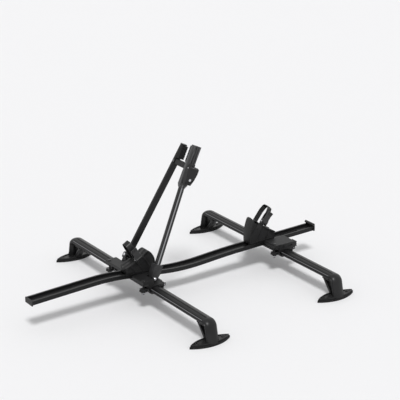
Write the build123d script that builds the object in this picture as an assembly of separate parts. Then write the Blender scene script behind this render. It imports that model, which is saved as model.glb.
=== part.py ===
from build123d import *
import os
from math import atan2, cos, degrees, hypot, pi, radians, sin, sqrt, tan

# Frame: +X along the tray towards the rear wheel, +Y across it, +Z up, in millimetres.
# The origin is on the roof under the middle of the crossbars and of the tray's length.

# Crossbars
bar_spacing = 667.0
bar_nose = 24.0
bar_tail = 30.0
bar_height = 28.0
bar_wall = 2.4
bar_centre_z = 86.0
front_bar_span = 1130.0
rear_bar_span = 1020.0
slot_mouth = 9.0
slot_inner = 17.0
slot_lip = 2.6
slot_depth = 8.0
strip_crown = 0.8
groove_radius = 1.3
groove_rise = 3.2

# Legs and foot pads
bend_radius = 42.0
bend_angle = 75.0
tower_run = 20.0
tower_end_drop = 6.0
flange_length = 182.0
flange_width = 56.0
flange_thickness = 7.0
flange_tip_radius = 5.0
pad_thickness = 9.0
pad_border = 4.0
flange_setback = 22.0
tenon_length = 44.0
tenon_clearance = 0.35
strut_thickness = 11.0
strut_width_top = 40.0
strut_width_base = 46.0
strut_reach = 62.0
strut_pad_length = 30.0
strut_pad_thickness = 5.0
foot_hole_radius = 3.3
foot_hole_spacing = 122.0
foot_boss_radius = 9.0
foot_boss_height = 3.0
leg_fillet = 2.0

# Tray
tray_length = 1400.0
tray_front_overhang = 513.0
carrier_offset = 25.0
tray_width = 46.0
tray_height = 20.0
tray_wall = 2.0
tray_floor_depth = 10.0
lip_width = 5.0
lip_turn = 4.0
foot_flange = 8.0
tray_lip_z = 134.0
crest_x, crest_rise, crest_radius = 360.0, 15.0, 900.0
dip_x, dip_drop, dip_radius = 710.0, 27.0, 1000.0
kink_x, kink_drop, kink_radius = 950.0, 11.5, 2500.0
tray_end_drop = 1.0
floor_slot_width = 12.0
rear_slot_start, rear_slot_length = 1228.0, 98.0
chock_slot_start, chock_slot_length = 1062.0, 84.0
cap_thickness = 4.0
cap_overlap = 1.5
cap_plug = 12.0
hook_rise = 13.0
hook_radius = 6.0

# Wheels that the tray is made for
wheel_radius = 341.0
tyre_radius = 16.0
front_hub_x, front_hub_z = -375.0, 480.0
rear_hub_x, rear_hub_z = 617.8, 463.5

# Bases that clamp the tray to the bars
base_clearance = 1.5
base_front_reach = 34.0
base_rear_reach = 38.0
base_top = 131.0
base_skirt_drop = 6.0
base_skirt_rise = 4.0
base_corner = 3.0
nose_reach = 60.0
nose_depth = 13.0
tower_gap = 31.5
saddle_thickness = 2.4
contact_gap = 0.15
front_near_end, front_far_end = 141.0, 153.0
rear_near_end, rear_far_end = 134.0, 84.0
boss_length = 44.0
boss_width = 36.0

# Swing jaws, clamp screws and disc knobs
jaw_thickness = 3.0
jaw_width = 24.0
jaw_gap = 0.6
jaw_bend = 6.0
jaw_heel_share, jaw_toe_share = 0.66, 0.33
jaw_pin_x, jaw_pin_z = 43.0, 14.0
jaw_pin_radius = 2.5
jaw_eye_radius = 5.5
ear_x, ear_drop = 49.0, 2.0
ear_reach = 11.0
running_gap = 0.08
side_play = 0.4
screw_radius = 4.0
screw_tail = 8.0
screw_head_radius = 7.5
screw_head_height = 3.6
ear_hole_radius = 5.2
washer_radius, washer_thickness = 9.0, 1.6
knob_radius = 17.0
knob_rim_height = 6.0
knob_hub_radius = 8.5
knob_hub_height = 12.0
knob_lobes = 8
knob_scallop_radius = 3.6
clamp_travel = 5.0
front_clamp_near, front_clamp_far = -125.0, 138.0
rear_clamp_near, rear_clamp_far = -116.0, 66.0
pin_overhang = 5.0

# Moulded covers on the rear base
cover_thickness = 3.0
cover_fin_count = 3
cover_fin_depth = 9.0
cover_fin_thickness = 3.0
cover_fin_pitch = 8.0
cover_hole_radius = 6.0
cover_slot_length, cover_slot_height = 26.0, 9.0

# Frame arm: a near tube and a far arm that meet the bicycle's frame like a letter A
arm_lean = 25.3
pivot_x_offset = 14.0
pivot_z = 119.5
pivot_radius = 5.0
pivot_head_radius = 9.0
pivot_head_height = 5.5
near_knuckle_y = -100.0
far_yoke_y = 113.0
knuckle_width = 24.0
knuckle_radius = 13.5
knuckle_length = 62.0
knuckle_wall = 3.0
knuckle_block = 14.0
pivot_boss_radius, pivot_boss_height = 11.0, 6.0
lug_gap = 0.5
pivot_grip = 24.0
arm_room_front, arm_room_back = 22.0, 60.0
tube_radius = 12.5
tube_wall = 1.8
tube_start = 34.0
head_y = -67.0
head_bottom, head_top = 396.0, 562.0
head_width, head_depth = 38.0, 22.0
head_rib_count = 3
head_rib_height = 2.2
head_rib_width = 5.0
head_corner = 4.0
head_plug = 40.0
collar_drop = 14.0
jaw_pad_bottom, jaw_pad_top = 486.0, 556.0
jaw_pad_depth = 7.0
jaw_pad_width = 34.0
jaw_pad_groove_count = 6
jaw_pad_groove_radius = 1.6
guide_width, guide_height = 20.0, 24.0
frame_tube_gap = 50.0
far_arm_width, far_arm_depth = 28.0, 14.0
far_arm_wall = 2.0
far_arm_hinge = 29.0
far_arm_top = 548.0
fork_eye_radius = 10.0
fork_root = 14.5
far_pin_radius = 4.0
far_top_y = 16.0
fork_thickness = 5.0
rod_height = 470.0
rod_radius = 4.0
rod_end_width = 9.0
rod_eye_radius = 6.6
barrel_radius = 6.0
barrel_length = 26.0
barrel_play = 1.9
barrel_gap = 0.1
rod_tail = 16.0
wear_plate_thickness = 2.0
wear_plate_width, wear_plate_height = 36.0, 34.0
lever_travel = 115.0
clamp_throw = 8.0
cam_low_radius = 7.5
cam_gap = 0.35
cam_thickness = 6.0
cam_offset = 12.5
lever_pin_radius = 3.0
lever_width_top, lever_width_end = 52.0, 32.0
lever_length = 68.0
lever_knee_share = 0.5
lever_depth = 25.0
lever_end_depth = 17.0
lever_corner = 4.0
cam_foot = 12.0
cam_steps = 8
lock_height = 46.0
lock_radius = 5.5
lock_length = 12.0
lock_proud = 1.0
key_slot_width, key_slot_length, key_slot_depth = 1.2, 5.5, 4.0

# Wheel chocks
chock_width = 60.0
cheek_rise = 9.0
chock_floor = 6.0
front_toe_angle, front_top_angle = 19.0, 38.0
rear_toe_angle, rear_top_angle = 24.5, 47.5
chock_crown = 12.0
front_back_slope = 14.0
rear_back_slope = 6.0
chock_lift = 0.3
chock_pocket_depth = 4.0
chock_rib = 5.0
tongue_width = 40.0
tongue_length = 12.0
tongue_gap = 0.5
chock_bolt_radius = 4.0
chock_bolt_up = 26.0
nut_plate_length, nut_plate_width, nut_plate_thickness = 22.0, 22.0, 4.0
nut_plate_gap = 0.4
slide_forward, slide_back = 30.0, 36.0

# Straps and ratchet buckles
front_strap_angle, rear_strap_angle = 30.0, 39.0
strap_width = 25.0
strap_thickness = 2.4
strap_half_base, strap_half_top = 23.0, 16.0
strap_top = 92.0
strap_straight = 64.0
strap_root = 14.0
strap_bend = 12.0
strap_slot_gap = 0.5
buckle_start, buckle_length = 13.0, 44.0
buckle_width = 33.0
buckle_floor = 2.2
buckle_ear = 2.4
ear_length_share = 0.55
buckle_rise = 13.0
buckle_pin_radius = 2.0
buckle_pin_back = 9.0
buckle_lever_length = 52.0
buckle_lever_thickness = 4.0
lever_bend_share = 0.7
ratchet_radius = 5.5
ratchet_teeth = 10
tooth_depth = 1.4

# Fasteners
bolt_radius = 3.0
bolt_head_radius, bolt_head_height = 5.5, 3.3
tray_bolt_side = 8.5
tray_bolt_spacing = 26.0
bolt_grip = 9.0
head_dome_share = 0.75

# One overrun serves every cut that runs past a face
over = 1.0

# Places that follow from the sizes above
tray_y = -carrier_offset
tray_front_x = -tray_length / 2
front_bar_x = tray_front_x + tray_front_overhang
rear_bar_x = front_bar_x + bar_spacing
bar_top_z = bar_centre_z + bar_height / 2
flange_top_z = pad_thickness + flange_thickness
tray_half = tray_width / 2
pivot_x = front_bar_x + pivot_x_offset
arm_pose = Location((pivot_x, 0, pivot_z), (0, arm_lean, 0))
opening_rate = clamp_throw / radians(lever_travel)

nodes = {}


def put(name, *solids):
    """Adds the solids of one named node, fused where they touch."""
    shape = solids[0] if len(solids) == 1 else Compound(children=[s.solid() for s in solids])
    shape.label = name
    nodes[name] = shape


def fused(*shapes):
    total = shapes[0]
    for shape in shapes[1:]:
        total = total + shape
    return total


def box_between(low, high):
    """A box from its low corner to its high corner."""
    size = [b - a for a, b in zip(low, high)]
    return Pos(*[(a + b) / 2 for a, b in zip(low, high)]) * Box(*size)


def slab_y(face, low, high):
    """Extrudes a face that was drawn on the XZ plane from y = low to y = high."""
    return Pos(0, high, 0) * extrude(face, amount=high - low)


def rod_y(x, z, radius, low, high):
    return Pos(x, (low + high) / 2, z) * Rot(90, 0, 0) * Cylinder(radius, high - low)


def rod_x(y, z, radius, low, high):
    return Pos((low + high) / 2, y, z) * Rot(0, 90, 0) * Cylinder(radius, high - low)


def rod_z(x, y, radius, low, high):
    return Pos(x, y, (low + high) / 2) * Cylinder(radius, high - low)


def polygon_xz(*points):
    return Plane.XZ * make_face(Polyline(*points, close=True))


# Crossbars
def bar_outline(shrink=0.0):
    """The bar's section: a blunt nose and a longer tail that share one height."""
    half = bar_height / 2 - shrink
    nose = EllipticalCenterArc((0, 0), bar_nose - shrink, half, 90, arc_size=180)
    tail = EllipticalCenterArc((0, 0), bar_tail - shrink, half, -90, arc_size=180)
    return make_face([nose, tail])


def tee_slot(side):
    """The undercut slot along the bar's top (side = 1) or underside (side = -1)."""
    face = side * (bar_height / 2)
    mouth = Pos(0, face - side * slot_depth / 2) * Rectangle(slot_mouth, slot_depth + over)
    inner_height = slot_depth - slot_lip
    inner = Pos(0, face - side * (slot_lip + inner_height / 2)) * Rectangle(slot_inner, inner_height)
    return mouth + inner


def bar_section():
    skin = bar_outline() - bar_outline(bar_wall)
    solid = skin
    for side in (1, -1):
        face = side * bar_height / 2
        block = Pos(0, face - side * (slot_depth + bar_wall) / 2)
        block *= Rectangle(slot_inner + 2 * bar_wall, slot_depth + bar_wall)
        solid = solid + (block & bar_outline()) - tee_slot(side)
    for rise in (-groove_rise, groove_rise):
        reach = bar_nose * sqrt(1 - (rise / (bar_height / 2)) ** 2)
        solid = solid - Pos(-reach, rise) * Circle(groove_radius)
    return solid


def strip_section():
    """A rubber strip that fills the top slot's mouth and stands a little proud."""
    top = bar_height / 2
    stem = Pos(0, top - slot_lip) * Rectangle(slot_mouth - 2 * contact_gap, 2 * slot_lip)
    stem = stem & bar_outline()
    foot_height = slot_depth - slot_lip - 2 * contact_gap
    foot = Pos(0, top - slot_lip - contact_gap - foot_height / 2)
    foot *= Rectangle(slot_inner - 2 * contact_gap, foot_height)
    crown_centre = top - slot_mouth
    crown = Pos(0, crown_centre) * Circle(slot_mouth + strip_crown)
    crown = crown & (Pos(0, top) * Rectangle(slot_mouth - 2 * contact_gap, 4 * strip_crown))
    return stem + foot + crown


def crossbar(bar_x, span):
    reach = span / 2 - leg_reach()
    place = Pos(bar_x, 0, bar_centre_z)
    bar = place * slab_y(Plane.XZ * bar_section(), -reach, reach)
    strip = place * slab_y(Plane.XZ * strip_section(), -reach, reach)
    return bar, strip


def leg_reach():
    """How far the leg stands out past the end of the bar."""
    bend = bend_radius * sin(radians(bend_angle))
    lean = tower_run * cos(radians(bend_angle))
    return bend + lean + bar_height / 2 * sin(radians(bend_angle)) + tower_end_drop


# Legs: drawn for the end at +Y of a bar, with the bar's end at y = 0, then mirrored
def leg_flange(grow, low, high):
    """A pointed oval along X, as two arcs that meet at rounded tips."""
    half_length = flange_length / 2 + grow
    half_width = flange_width / 2 + grow
    arcs = [
        ThreePointArc((-half_length, 0), (0, half_width), (half_length, 0)),
        ThreePointArc((half_length, 0), (0, -half_width), (-half_length, 0)),
    ]
    oval = make_face(arcs)
    oval = fillet(oval.vertices(), flange_tip_radius)
    return Pos(0, flange_y(), low) * extrude(oval, amount=high - low)


def tower_foot():
    """The point where the tower's centre line meets the flange, and its direction there."""
    angle = radians(bend_angle)
    y = bend_radius * sin(angle)
    z = bar_centre_z - bend_radius * (1 - cos(angle))
    return y, z, cos(angle), -sin(angle)


def flange_y():
    y, z, dy, dz = tower_foot()
    return y + tower_run * dy - flange_setback


def leg():
    y, z, dy, dz = tower_foot()
    crown_path = Plane.YZ * JernArc((0, bar_centre_z), (1, 0), bend_radius, -bend_angle)
    section = Plane.XZ * bar_outline()
    crown = sweep(Pos(0, 0, bar_centre_z) * section, path=crown_path)
    end_plane = Plane(origin=(0, y, z), x_dir=(1, 0, 0), z_dir=(0, dy, dz))
    drop = (z - flange_top_z) / -dz
    upper = end_plane * bar_outline()
    foot_length = bar_nose + bar_tail + 2 * bar_height
    lower = Pos(0, y + drop * dy - flange_setback / 2, flange_top_z) * Ellipse(foot_length / 2, bar_height)
    tower = loft([upper, lower])
    flange = leg_flange(0, pad_thickness, flange_top_z)
    body = fused(crown, tower, flange, strut(), tenon())
    for side in (-1, 1):
        x = side * foot_hole_spacing / 2
        body = body + rod_z(x, flange_y(), foot_boss_radius, flange_top_z, flange_top_z + foot_boss_height)
        body = body - rod_z(x, flange_y(), foot_hole_radius, 0, flange_top_z + foot_boss_height + over)
    return body


def strut():
    """The inner brace: a tapered web from the flange to a pad under the bar."""
    under = bar_centre_z - bar_height / 2 - contact_gap
    top_y = -strut_reach
    foot_y = flange_y() - strut_thickness
    pad_low = under - strut_pad_thickness
    upper = Pos(0, top_y, pad_low) * Rectangle(strut_width_top, strut_thickness)
    lower = Pos(0, foot_y, pad_thickness + flange_thickness / 2) * Rectangle(strut_width_base, strut_thickness * 2)
    web = loft([lower, upper])
    pad = Pos(0, top_y, (under + pad_low) / 2) * Box(strut_width_top, strut_pad_length, strut_pad_thickness)
    pad = fillet(pad.edges().filter_by(Axis.Z), strut_pad_thickness)
    return web + pad


def tenon():
    """The plug that enters the bar's end, between the two slots."""
    inner = bar_outline(bar_wall + tenon_clearance)
    height = bar_height - 2 * (slot_depth + bar_wall + tenon_clearance)
    band = Rectangle(2 * bar_tail, height)
    section = Plane.XZ * (inner & band)
    return Pos(0, 0, bar_centre_z) * slab_y(section, -tenon_length, over)


def foot_pad():
    pad = leg_flange(pad_border, 0, pad_thickness)
    for side in (-1, 1):
        pad = pad - rod_z(side * foot_hole_spacing / 2, flange_y(), foot_hole_radius, -over, pad_thickness + over)
    return pad


def rack():
    for name, bar_x, span in (("front", front_bar_x, front_bar_span), ("rear", rear_bar_x, rear_bar_span)):
        bar, strip = crossbar(bar_x, span)
        put("crossbar_" + name, bar)
        put("bar_strip_" + name, strip)
        end = Pos(bar_x, span / 2 - leg_reach(), 0)
        far_leg, far_pad = end * leg(), end * foot_pad()
        near_pad = mirror(far_pad, about=Plane.XZ)
        put("leg_" + name + "_far", far_leg)
        put("leg_" + name + "_near", mirror(far_leg, about=Plane.XZ))
        put("foot_pads_" + name, far_pad, near_pad)


# Tray
def tray_knots():
    """The corners of the tray's run seen from the side, along the top of its lips."""
    return [
        (tray_front_x + cap_thickness, tray_lip_z),
        (tray_front_x + crest_x, tray_lip_z + crest_rise),
        (tray_front_x + dip_x, tray_lip_z - dip_drop),
        (tray_front_x + kink_x, tray_lip_z - kink_drop),
        (tray_front_x + tray_length - cap_thickness, tray_lip_z - tray_end_drop),
    ]


def tray_line(drop):
    """The tray's run with its bends, lowered by drop from the top of its lips."""
    lowered = [(x, z - drop) for x, z in tray_knots()]
    return FilletPolyline(*lowered, radius=[crest_radius, dip_radius, kink_radius])


def tray_band(high_drop, low_drop):
    """A face on the XZ plane between two copies of the tray's run."""
    high = tray_line(high_drop)
    low = tray_line(low_drop)
    ends = [Line(high @ 0, low @ 0), Line(high @ 1, low @ 1)]
    return Plane.XZ * make_face(high.edges() + low.edges() + ends)


def tray_z(x, drop=0.0):
    """Height of the tray's run at x, on its straight stretches."""
    knots = tray_knots()
    for (x0, z0), (x1, z1) in zip(knots, knots[1:]):
        if x <= x1:
            return z0 + (z1 - z0) * (x - x0) / (x1 - x0) - drop
    return knots[-1][1] - drop


def tray_slope():
    """Angle of the tray's straight rear stretch above level, in degrees."""
    return floor_lean(rear_bar_x)


def floor_lean(x):
    rise = tray_z(x + tray_half) - tray_z(x - tray_half)
    return degrees(atan2(rise, tray_width))


def floor_place(x, y):
    """A place on the tray's floor whose Z stands square to the floor."""
    return Pos(x, y, tray_z(x, tray_floor_depth)) * Rot(0, -floor_lean(x), 0)


def tray():
    inner = tray_half - tray_wall
    floor_low = tray_floor_depth + tray_wall
    walls = []
    for side in (-1, 1):
        spans = [
            (tray_band(0, tray_height), inner, tray_half),
            (tray_band(0, tray_wall), inner, tray_half + lip_width),
            (tray_band(0, lip_turn), tray_half + lip_width - tray_wall, tray_half + lip_width),
            (tray_band(tray_height - tray_wall, tray_height), inner - foot_flange, tray_half),
        ]
        for face, a, b in spans:
            low, high = sorted((side * a, side * b))
            walls.append(slab_y(face, tray_y + low, tray_y + high))
    channel = fused(slab_y(tray_band(tray_floor_depth, floor_low), tray_y - tray_half, tray_y + tray_half), *walls)
    for start, length in ((rear_slot_start, rear_slot_length), (chock_slot_start, chock_slot_length)):
        channel = channel - floor_slot(tray_front_x + start, length)
    for bar_x in (front_bar_x, rear_bar_x):
        for x, y in tray_bolt_places(bar_x):
            hole = rod_z(0, 0, bolt_radius + running_gap, -2 * tray_wall, over)
            channel = channel - floor_place(x, y) * hole
    return channel


def floor_slot(start, length):
    slot = SlotOverall(length, floor_slot_width)
    low = tray_z(start, tray_floor_depth + tray_wall + over)
    high = tray_z(start + length, tray_floor_depth - over)
    return Pos(start + length / 2, tray_y, low) * extrude(slot, amount=high - low)


def tray_bolt_places(bar_x):
    if bar_x == front_bar_x:
        places = [(bar_x + s * tray_bolt_spacing / 2, tray_y) for s in (-1, 1)]
    else:
        places = [(bar_x, tray_y + s * tray_bolt_side) for s in (-1, 1)]
    return places


def button_bolt(x, y, seat, grip, radius, head_radius, head_height):
    """A domed bolt whose head sits on the height seat."""
    shank = rod_z(x, y, radius, seat - grip, seat)
    head = rod_z(x, y, head_radius, seat, seat + head_height)
    head = fillet(head.edges().group_by(Axis.Z)[-1], head_height * head_dome_share)
    return shank + head


def tray_caps():
    """Plastic caps that plug the tray's ends; the rear one turns up into a hook."""
    outline_half = tray_half + lip_width + cap_overlap
    for name, x, sign in (("front", tray_front_x, -1), ("rear", tray_front_x + tray_length, 1)):
        top = tray_z(x) + cap_overlap
        low = top - tray_height - 2 * cap_overlap
        inner_face = x - sign * (cap_thickness - contact_gap)
        near, far = sorted((inner_face, x))
        plate = box_between((near, tray_y - outline_half, low), (far, tray_y + outline_half, top))
        plate = fillet(plate.edges().filter_by(Axis.X), cap_overlap + tray_wall)
        near, far = sorted((inner_face, x - sign * cap_plug))
        inner = tray_half - tray_wall - contact_gap
        floor = tray_z(x, tray_floor_depth + tray_wall + contact_gap + cap_overlap)
        bottom = tray_z(x, tray_height - tray_wall - contact_gap - cap_overlap)
        plug = box_between((near, tray_y - inner, bottom), (far, tray_y + inner, floor))
        cap = plate + plug
        if sign > 0:
            cap = cap + rear_hook(x, top, outline_half)
        put("tray_cap_" + name, cap)


def rear_hook(x, top, half):
    """The rear cap's rounded, upturned end."""
    centre_z = top + hook_rise - hook_radius
    profile = Plane.XZ * (
        Pos(x - hook_radius, centre_z) * Circle(hook_radius)
        + Pos(x - cap_thickness / 2, (top + centre_z) / 2 - cap_thickness)
        * Rectangle(cap_thickness, centre_z - top + 2 * cap_thickness)
    )
    hook = slab_y(profile, tray_y - half, tray_y + half)
    return fillet(hook.edges().filter_by(Axis.Y, reverse=True).group_by(Axis.Z)[-1], cap_overlap)


# Bases
def base_profile(bar_x, tail_reach):
    """Side view of a clamp tower: a block over the bar with a nose for the clamp screw."""
    skirt = bar_top_z - base_skirt_drop
    points = [
        (bar_x - base_front_reach, skirt + base_skirt_rise),
        (bar_x - base_front_reach, base_top - nose_depth),
        (bar_x - nose_reach, base_top - nose_depth),
        (bar_x - nose_reach, base_top),
        (bar_x + tail_reach, base_top),
        (bar_x + tail_reach, skirt),
    ]
    return polygon_xz(*points)


def bar_grown(bar_x, grow):
    return Plane.XZ * (Pos(bar_x, bar_centre_z) * bar_outline(-grow))


def clamp_base(bar_x, near_y, far_y, screws):
    """One casting: two towers beside the tray, a low web and a boss under the tray's floor."""
    rear = jaw_pin_x + jaw_eye_radius
    tower_near = slab_y(base_profile(bar_x, rear), near_y, tray_y - tower_gap)
    tower_far = slab_y(base_profile(bar_x, rear), tray_y + tower_gap, far_y)
    towers = [fillet(t.edges().filter_by(Axis.Y), base_corner) for t in (tower_near, tower_far)]
    web_low = bar_top_z + base_clearance
    reach = base_front_reach
    web_top = [(bar_x + s * reach, tray_z(bar_x + s * reach, tray_height)) for s in (-1, 1)]
    web = polygon_xz((bar_x - reach, web_low), web_top[0], web_top[1], (bar_x + reach, web_low))
    web = slab_y(web, tray_y - tower_gap - over, tray_y + tower_gap + over)
    half = boss_length / 2
    under_floor = tray_floor_depth + tray_wall
    boss_top = [(bar_x + s * half, tray_z(bar_x + s * half, under_floor)) for s in (-1, 1)]
    boss = polygon_xz((bar_x - half, web_low), boss_top[0], boss_top[1], (bar_x + half, web_low))
    boss_half = tray_half - tray_wall - foot_flange - contact_gap
    boss = slab_y(boss, tray_y - boss_half, tray_y + boss_half)
    base = fused(towers[0], towers[1], web, boss)
    base = base - slab_y(bar_grown(bar_x, saddle_thickness), near_y - over, far_y + over)
    for y in screws:
        base = base - rod_z(bar_x - ear_x, y, screw_radius + running_gap, base_top - nose_depth - over, base_top + over)
        base = base - jaw_slot(bar_x, y)
        base = base - rod_y(bar_x + jaw_pin_x, bar_centre_z + jaw_pin_z, jaw_pin_radius, near_y - over, far_y + over)
    for x, y in tray_bolt_places(bar_x):
        base = base - floor_place(x, y) * rod_z(0, 0, bolt_radius, -bolt_grip - over, over)
    return base


def jaw_slot(bar_x, y):
    """The gap in a tower's rear edge where a jaw's eye swings."""
    half = jaw_width / 2 + side_play
    reach = jaw_eye_radius + side_play
    centre_x, centre_z = bar_x + jaw_pin_x, bar_centre_z + jaw_pin_z
    low = (centre_x - reach, y - half, bar_top_z - base_skirt_drop - over)
    high = (centre_x + reach + over, y + half, centre_z + reach)
    return box_between(low, high)


def saddle_pads(bar_x, near_y, far_y):
    """Rubber that follows the bar's top under each tower."""
    ring = bar_grown(bar_x, saddle_thickness - contact_gap) - bar_grown(bar_x, contact_gap)
    low = bar_top_z - base_skirt_drop
    window = (bar_x - base_front_reach, bar_x + base_front_reach - bar_height / 2)
    keep = polygon_xz(
        (window[0], low), (window[0], base_top), (window[1], base_top), (window[1], low)
    )
    strip_top = bar_top_z + strip_crown + contact_gap
    strip_half = slot_mouth / 2
    strip_room = polygon_xz(
        (bar_x - strip_half, low), (bar_x - strip_half, strip_top), (bar_x + strip_half, strip_top), (bar_x + strip_half, low)
    )
    ring = (ring & keep) - strip_room
    pads = []
    for a, b in ((near_y, tray_y - tower_gap), (tray_y + tower_gap, far_y)):
        pads.append(slab_y(ring, a + base_corner, b - base_corner))
    return pads


# Swing jaws
def swing_jaw(bar_x, y):
    """A steel strap from the rear pin, under the bar and up to the screw's ear in front."""
    gap = jaw_gap + jaw_thickness / 2
    back = bar_tail + gap + jaw_thickness
    under = -bar_height / 2 - gap
    front = -bar_nose - gap - jaw_thickness
    ear_z = bar_height / 2 - ear_drop - jaw_thickness
    points = [
        (jaw_pin_x, jaw_pin_z - jaw_eye_radius / 2),
        (back, under + jaw_bend),
        (bar_tail - bar_height / 2, under),
        (-bar_nose * jaw_heel_share, under),
        (front, under + bar_height * jaw_toe_share),
        (front, ear_z),
        (-ear_x - ear_reach, ear_z),
    ]
    radii = [jaw_bend, jaw_bend, jaw_bend, jaw_bend, jaw_thickness]
    path = Plane.XZ * FilletPolyline(*points, radius=radii)
    start = Plane(origin=path @ 0, x_dir=(0, 1, 0), z_dir=path % 0)
    strap = sweep(start * Rectangle(jaw_width, jaw_thickness), path=path)
    eye = rod_y(jaw_pin_x, jaw_pin_z, jaw_eye_radius, -jaw_width / 2, jaw_width / 2)
    jaw = strap + eye
    jaw = jaw - rod_y(jaw_pin_x, jaw_pin_z, jaw_pin_radius + running_gap, -jaw_width, jaw_width)
    jaw = jaw - rod_z(-ear_x, 0, ear_hole_radius, ear_z - jaw_bend, ear_z + jaw_bend)
    return Pos(bar_x, y, bar_centre_z) * jaw


def ear_under_z():
    return bar_centre_z + bar_height / 2 - ear_drop - jaw_thickness - jaw_thickness / 2


def knob():
    """A disc knob with finger scallops and a hub, hanging below its own top face."""
    disc = rod_z(0, 0, knob_radius, -knob_rim_height, 0)
    for n in range(knob_lobes):
        angle = 2 * pi * n / knob_lobes
        x, y = knob_radius * cos(angle), knob_radius * sin(angle)
        disc = disc - rod_z(x, y, knob_scallop_radius, -knob_rim_height - over, over)
    disc = fillet(disc.edges().group_by(Axis.Z)[0], knob_rim_height / 4)
    hub = rod_z(0, 0, knob_hub_radius, -knob_hub_height, 0)
    return disc + hub - rod_z(0, 0, screw_radius + running_gap, -knob_hub_height - over, over)


def clamps():
    places = (
        ("front_near", front_bar_x, front_clamp_near),
        ("front_far", front_bar_x, front_clamp_far),
        ("rear_near", rear_bar_x, rear_clamp_near),
        ("rear_far", rear_bar_x, rear_clamp_far),
    )
    screws, pins = [], []
    under = ear_under_z()
    for name, bar_x, y in places:
        x = bar_x - ear_x
        washer_top = under - side_play
        knob_top = washer_top - washer_thickness - contact_gap
        put("clamp_jaw_" + name, swing_jaw(bar_x, y))
        washer = rod_z(x, y, washer_radius, washer_top - washer_thickness, washer_top)
        washer = washer - rod_z(x, y, screw_radius + running_gap, washer_top - 2 * washer_thickness, washer_top + over)
        put("clamp_washer_" + name, washer)
        put("clamp_knob_" + name, Pos(x, y, knob_top) * knob())
        tail = knob_top - knob_hub_height - screw_tail
        head = button_bolt(x, y, base_top, base_top - tail, screw_radius, screw_head_radius, screw_head_height)
        screws.append(head)
        pin_half = jaw_width / 2 + pin_overhang
        pins.append(rod_y(bar_x + jaw_pin_x, bar_centre_z + jaw_pin_z, jaw_pin_radius, y - pin_half, y + pin_half))
    put("clamp_screws", *screws)
    put("jaw_pins", *pins)


def bases():
    front = clamp_base(front_bar_x, -front_near_end, front_far_end, (front_clamp_near, front_clamp_far))
    put("front_base", front - arm_clearance())
    rear = clamp_base(rear_bar_x, -rear_near_end, rear_far_end, (rear_clamp_near, rear_clamp_far))
    put("rear_base", rear)
    front_pads = saddle_pads(front_bar_x, -front_near_end, front_far_end)
    rear_pads = saddle_pads(rear_bar_x, -rear_near_end, rear_far_end)
    put("saddle_pads", *front_pads, *rear_pads)
    bolts = []
    for bar_x in (front_bar_x, rear_bar_x):
        for x, y in tray_bolt_places(bar_x):
            bolt = button_bolt(0, 0, contact_gap, bolt_grip, bolt_radius, bolt_head_radius, bolt_head_height)
            bolts.append(floor_place(x, y) * bolt)
    put("tray_bolts", *bolts)


# Frame arm, drawn upright about its pivot: X points back, Z runs up the arm
def near_lean():
    return degrees(atan2(head_y - near_knuckle_y, head_bottom))


def far_lean():
    return degrees(atan2(far_yoke_y - far_top_y, far_arm_top - far_arm_hinge))


def far_inner_y(z):
    """The far arm's inner face, at height z up the arm."""
    tilt = radians(far_lean())
    return far_yoke_y - tan(tilt) * (z - far_arm_hinge) - far_arm_depth / 2 / cos(tilt)


def far_centre_y(z):
    return far_yoke_y - tan(radians(far_lean())) * (z - far_arm_hinge)


def near_axis():
    """A place at the near pivot whose Z runs up the middle of the near tube."""
    return Pos(0, near_knuckle_y, 0) * Rot(-near_lean(), 0, 0)


def tube_top():
    return head_bottom / cos(radians(near_lean()))


def near_knuckle():
    """A cast knuckle: the pivot's eye, blended into the socket of the near tube."""
    eye = rod_y(0, 0, knuckle_radius, near_knuckle_y - knuckle_width / 2, near_knuckle_y + knuckle_width / 2)
    pose = near_axis()
    socket_radius = tube_radius + knuckle_wall
    half_x, half_y = knuckle_radius, knuckle_width / 2 - lug_gap
    block = box_between((-half_x, near_knuckle_y - half_y, 0), (half_x, near_knuckle_y + half_y, knuckle_block))
    foot = Pos(0, near_knuckle_y, knuckle_block) * Rectangle(2 * half_x, 2 * half_y)
    neck = loft([foot, pose * Pos(0, 0, tube_start) * Circle(socket_radius)])
    socket = pose * rod_z(0, 0, socket_radius, tube_start, knuckle_length)
    body = fused(eye, block, neck, socket)
    reach = knuckle_width
    body = body - rod_y(0, 0, pivot_radius + running_gap, near_knuckle_y - reach, near_knuckle_y + reach)
    bore = pose * rod_z(0, 0, tube_radius + contact_gap, tube_start, knuckle_length + over)
    rim = body.edges().filter_by(GeomType.CIRCLE).sort_by(Axis.Z)[-1]
    return fillet(rim, knuckle_wall / 2) - bore


def near_tube():
    top = tube_top() - over
    tube = rod_z(0, 0, tube_radius, tube_start + contact_gap, top)
    tube = tube - rod_z(0, 0, tube_radius - tube_wall, tube_start - over, top + over)
    return near_axis() * tube


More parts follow.
